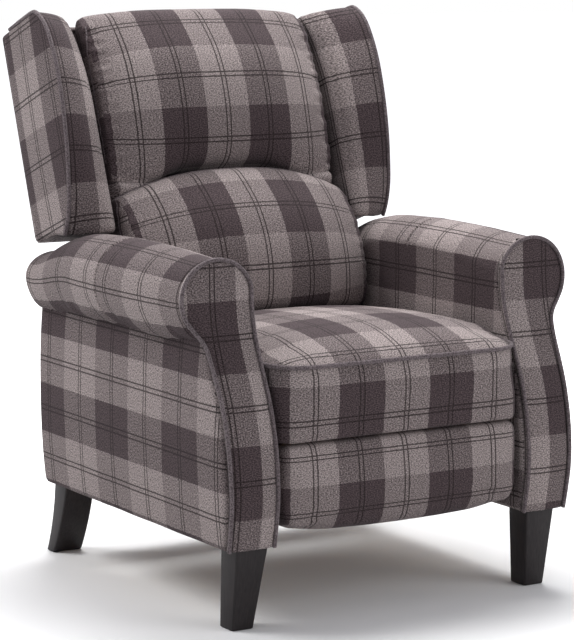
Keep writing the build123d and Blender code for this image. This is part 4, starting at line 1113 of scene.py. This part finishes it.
def laid_on_pillow(places, normals, front, match_t, band_t, half):
    """Cloth on a pillow: across by x, upwards by the length along its front, round its sides.

    The length is matched to t at match_t, and the edge of a band lies at band_t.
    """
    y, z = places[:, 1] - back_foot_y, places[:, 2] - back_foot_z
    n = z * np.sin(lean) - y * np.cos(lean)
    t = z * np.cos(lean) + y * np.sin(lean)
    reach = along_profile(front, columns(n, t))
    match_n = front[np.argmin(abs(front[:, 1] - match_t)), 0]
    match_reach = along_profile(front, np.array([[match_n, match_t]]))[0]
    gusset = abs(normals[:, 0]) > 0.8
    across = np.where(gusset, np.sign(places[:, 0]) * (half + 130 - n), places[:, 0])
    upwards = np.where(gusset, t, reach - match_reach + match_t) - band_t
    return columns(across + middle_band, upwards)


def head_cloth(places, normals):
    return laid_on_pillow(places, normals, head_front, 545, band_t=head_match_t, half=head_half)


cover(head, from_back(points), head_cloth, "back", "head_cushion")


seam_cord_radius = 1.5


def seam_on(cushion, guide, name):
    """Fine corded seam that lies in a cushion's surface along a guide given as x, n, t."""
    mesh = cushion.data
    surface = BVHTree.FromPolygons([v.co for v in mesh.vertices],
                                   [tuple(p.vertices) for p in mesh.polygons])
    found = [surface.find_nearest(Vector(p))[0] for p in in_row(from_back(guide))]
    path = np.array(found) / mm - (0, row_shift, 0)
    piece(name, [tube_rings(rounded(path[::2], 2), seam_cord_radius, 6)], piping, "welt", "back")


for side, way in sides.items():
    t = np.linspace(412, 676, 80)
    seam_on(head, columns(way * (head_half - 6), 124, t), f"head_cushion_seam_{side}")


# ---- Lumbar cushion.
# The fuller pillow below it, which the sitter's loins rest on. It stands on the seat cushion's
# rear edge and its top bulges under the head cushion.

lumbar_half, lumbar_flatness = 243, 2.4
lumbar_middle = [(foam_face, 104), (foam_face, 370), (128, 386), (172, 380), (199, 341),
                 (226, 298), (240, 244), (241, 191), (222, 129), (196, 102)]
lumbar_edge = [(foam_face, 108), (foam_face, 336), (112, 344), (142, 340), (166, 310),
               (181, 270), (188, 230), (188, 185), (176, 130), (156, 107)]
rings = pillow_rings(lumbar_middle, lumbar_edge, lumbar_half, lumbar_flatness, inset=0.05)
lumbar, points = simulate(
    "lumbar_cushion_cover", rings, (-lumbar_half, foam_face, 101), (lumbar_half, 241, 385), voxel=7,
    tacked=lambda x, n, t: (n < 95) | (t < 112) | (abs(x) > lumbar_half - 14))
points[:, 0] -= np.sign(points[:, 0]) * side_gathers(points, lumbar_half)
lumbar_front = rounded([(60, 372), (128, 386), (172, 380), (199, 341), (226, 298), (240, 244),
                        (241, 191), (222, 129), (196, 102), (60, 104)], 2)[::-1]


def lumbar_cloth(places, normals):
    return laid_on_pillow(places, normals, lumbar_front, 235, band_t=115, half=lumbar_half)


cover(lumbar, from_back(points), lumbar_cloth, "back", "lumbar_cushion")
turn = np.radians(np.linspace(0, 180, 120))
x = -(lumbar_half - 5) * np.cos(turn)
full = 1 - abs(x / lumbar_half) ** lumbar_flatness
over = columns(x, 132 + 24 * full, 340 + 43 * full)
t = np.linspace(125, 334, 60)
up = columns(5 - lumbar_half, 140, t)
seam_on(lumbar, np.vstack([up, over, (up * (-1, 1, 1))[::-1]]), "lumbar_cushion_seam")


# ---- Studio: floor, light and camera.
# A pale seamless floor under soft, even light from large panels. The camera stands 4.7 m away and
# 1.1 m high, 31 degrees round from straight in front.

floor_paint, tree, shader = new_finish("pale_studio_floor", Roughness=0.8)
rays = add(tree, "ShaderNodeLightPath")
seen = rays.outputs["Is Camera Ray"]
tree.links.new(blended(tree, seen, linear("#d8d8d8"), linear("#ffffff")),
               shader.inputs["Base Color"])
spot = add(tree, "ShaderNodeTexCoord").outputs["Object"]
from_chair = add(tree, "ShaderNodeVectorMath", {0: spot}, operation="LENGTH").outputs["Value"]
paleness = add(tree, "ShaderNodeMapRange", {
    "Value": from_chair, "From Min": 0.62, "From Max": 1.5, "To Min": 0.0, "To Max": 0.8})
shader.inputs["Emission Color"].default_value = (1, 1, 1, 1)
tree.links.new(math_node(tree, "MULTIPLY", seen, paleness.outputs["Result"]),
               shader.inputs["Emission Strength"])
bpy.ops.mesh.primitive_grid_add(x_subdivisions=8, y_subdivisions=8, size=60)
floor = bpy.context.object
floor.name = "studio_floor"
floor.location.z = -0.0005
floor.data.materials.append(floor_paint)

world = bpy.data.worlds.new("soft_studio")
bpy.context.scene.world = world
world.use_nodes = True
tree = world.node_tree
sky = tree.nodes["Background"]
rays = add(tree, "ShaderNodeLightPath")
strength = add(tree, "ShaderNodeMapRange", {
    "Value": rays.outputs["Is Camera Ray"], "To Min": 0.41, "To Max": 1.0})
cool = add(tree, "ShaderNodeMix", {
    0: rays.outputs["Is Camera Ray"], 6: linear("#f8f8ff"), 7: linear("#ffffff")},
    data_type="RGBA").outputs[2]
tree.links.new(cool, sky.inputs["Color"])
tree.links.new(strength.outputs["Result"], sky.inputs["Strength"])


def soft_panel(name, place, aim, size, watts):
    light = bpy.data.lights.new(name, "AREA")
    light.shape = "SQUARE"
    light.size = size
    light.energy = watts
    made = bpy.data.objects.new(name, light)
    made.location = place
    made.rotation_euler = (Vector(aim) - Vector(place)).to_track_quat("-Z", "Y").to_euler()
    bpy.context.scene.collection.objects.link(made)


soft_panel("key_panel", (-2.6, 1.3, 3.1), (0, 0, 0.4), size=1.8, watts=75)
soft_panel("fill_panel", (1.9, -3.4, 1.9), (0, 0, 0.5), size=2.4, watts=38)
soft_panel("top_panel", (0.7, 0.9, 3.4), (0, 0, 0.4), size=1.8, watts=118)

camera = bpy.data.cameras.new("camera")
camera.lens = 146.17
camera.sensor_width = 36
camera.shift_x = 0.0197
camera.shift_y = 0.0109
eye = bpy.data.objects.new("camera", camera)
bpy.context.scene.collection.objects.link(eye)
turn, rise, far = np.radians(-31.123), np.radians(8.427), 4.73237
aim = Vector((0, row_shift * mm, 0.435238))
eye.location = aim + far * Vector((np.sin(turn) * np.cos(rise), -np.cos(turn) * np.cos(rise),
                                   np.sin(rise)))
eye.rotation_euler = (aim - eye.location).to_track_quat("-Z", "Y").to_euler()
bpy.context.scene.camera = eye
bpy.context.scene.view_settings.view_transform = "Standard"
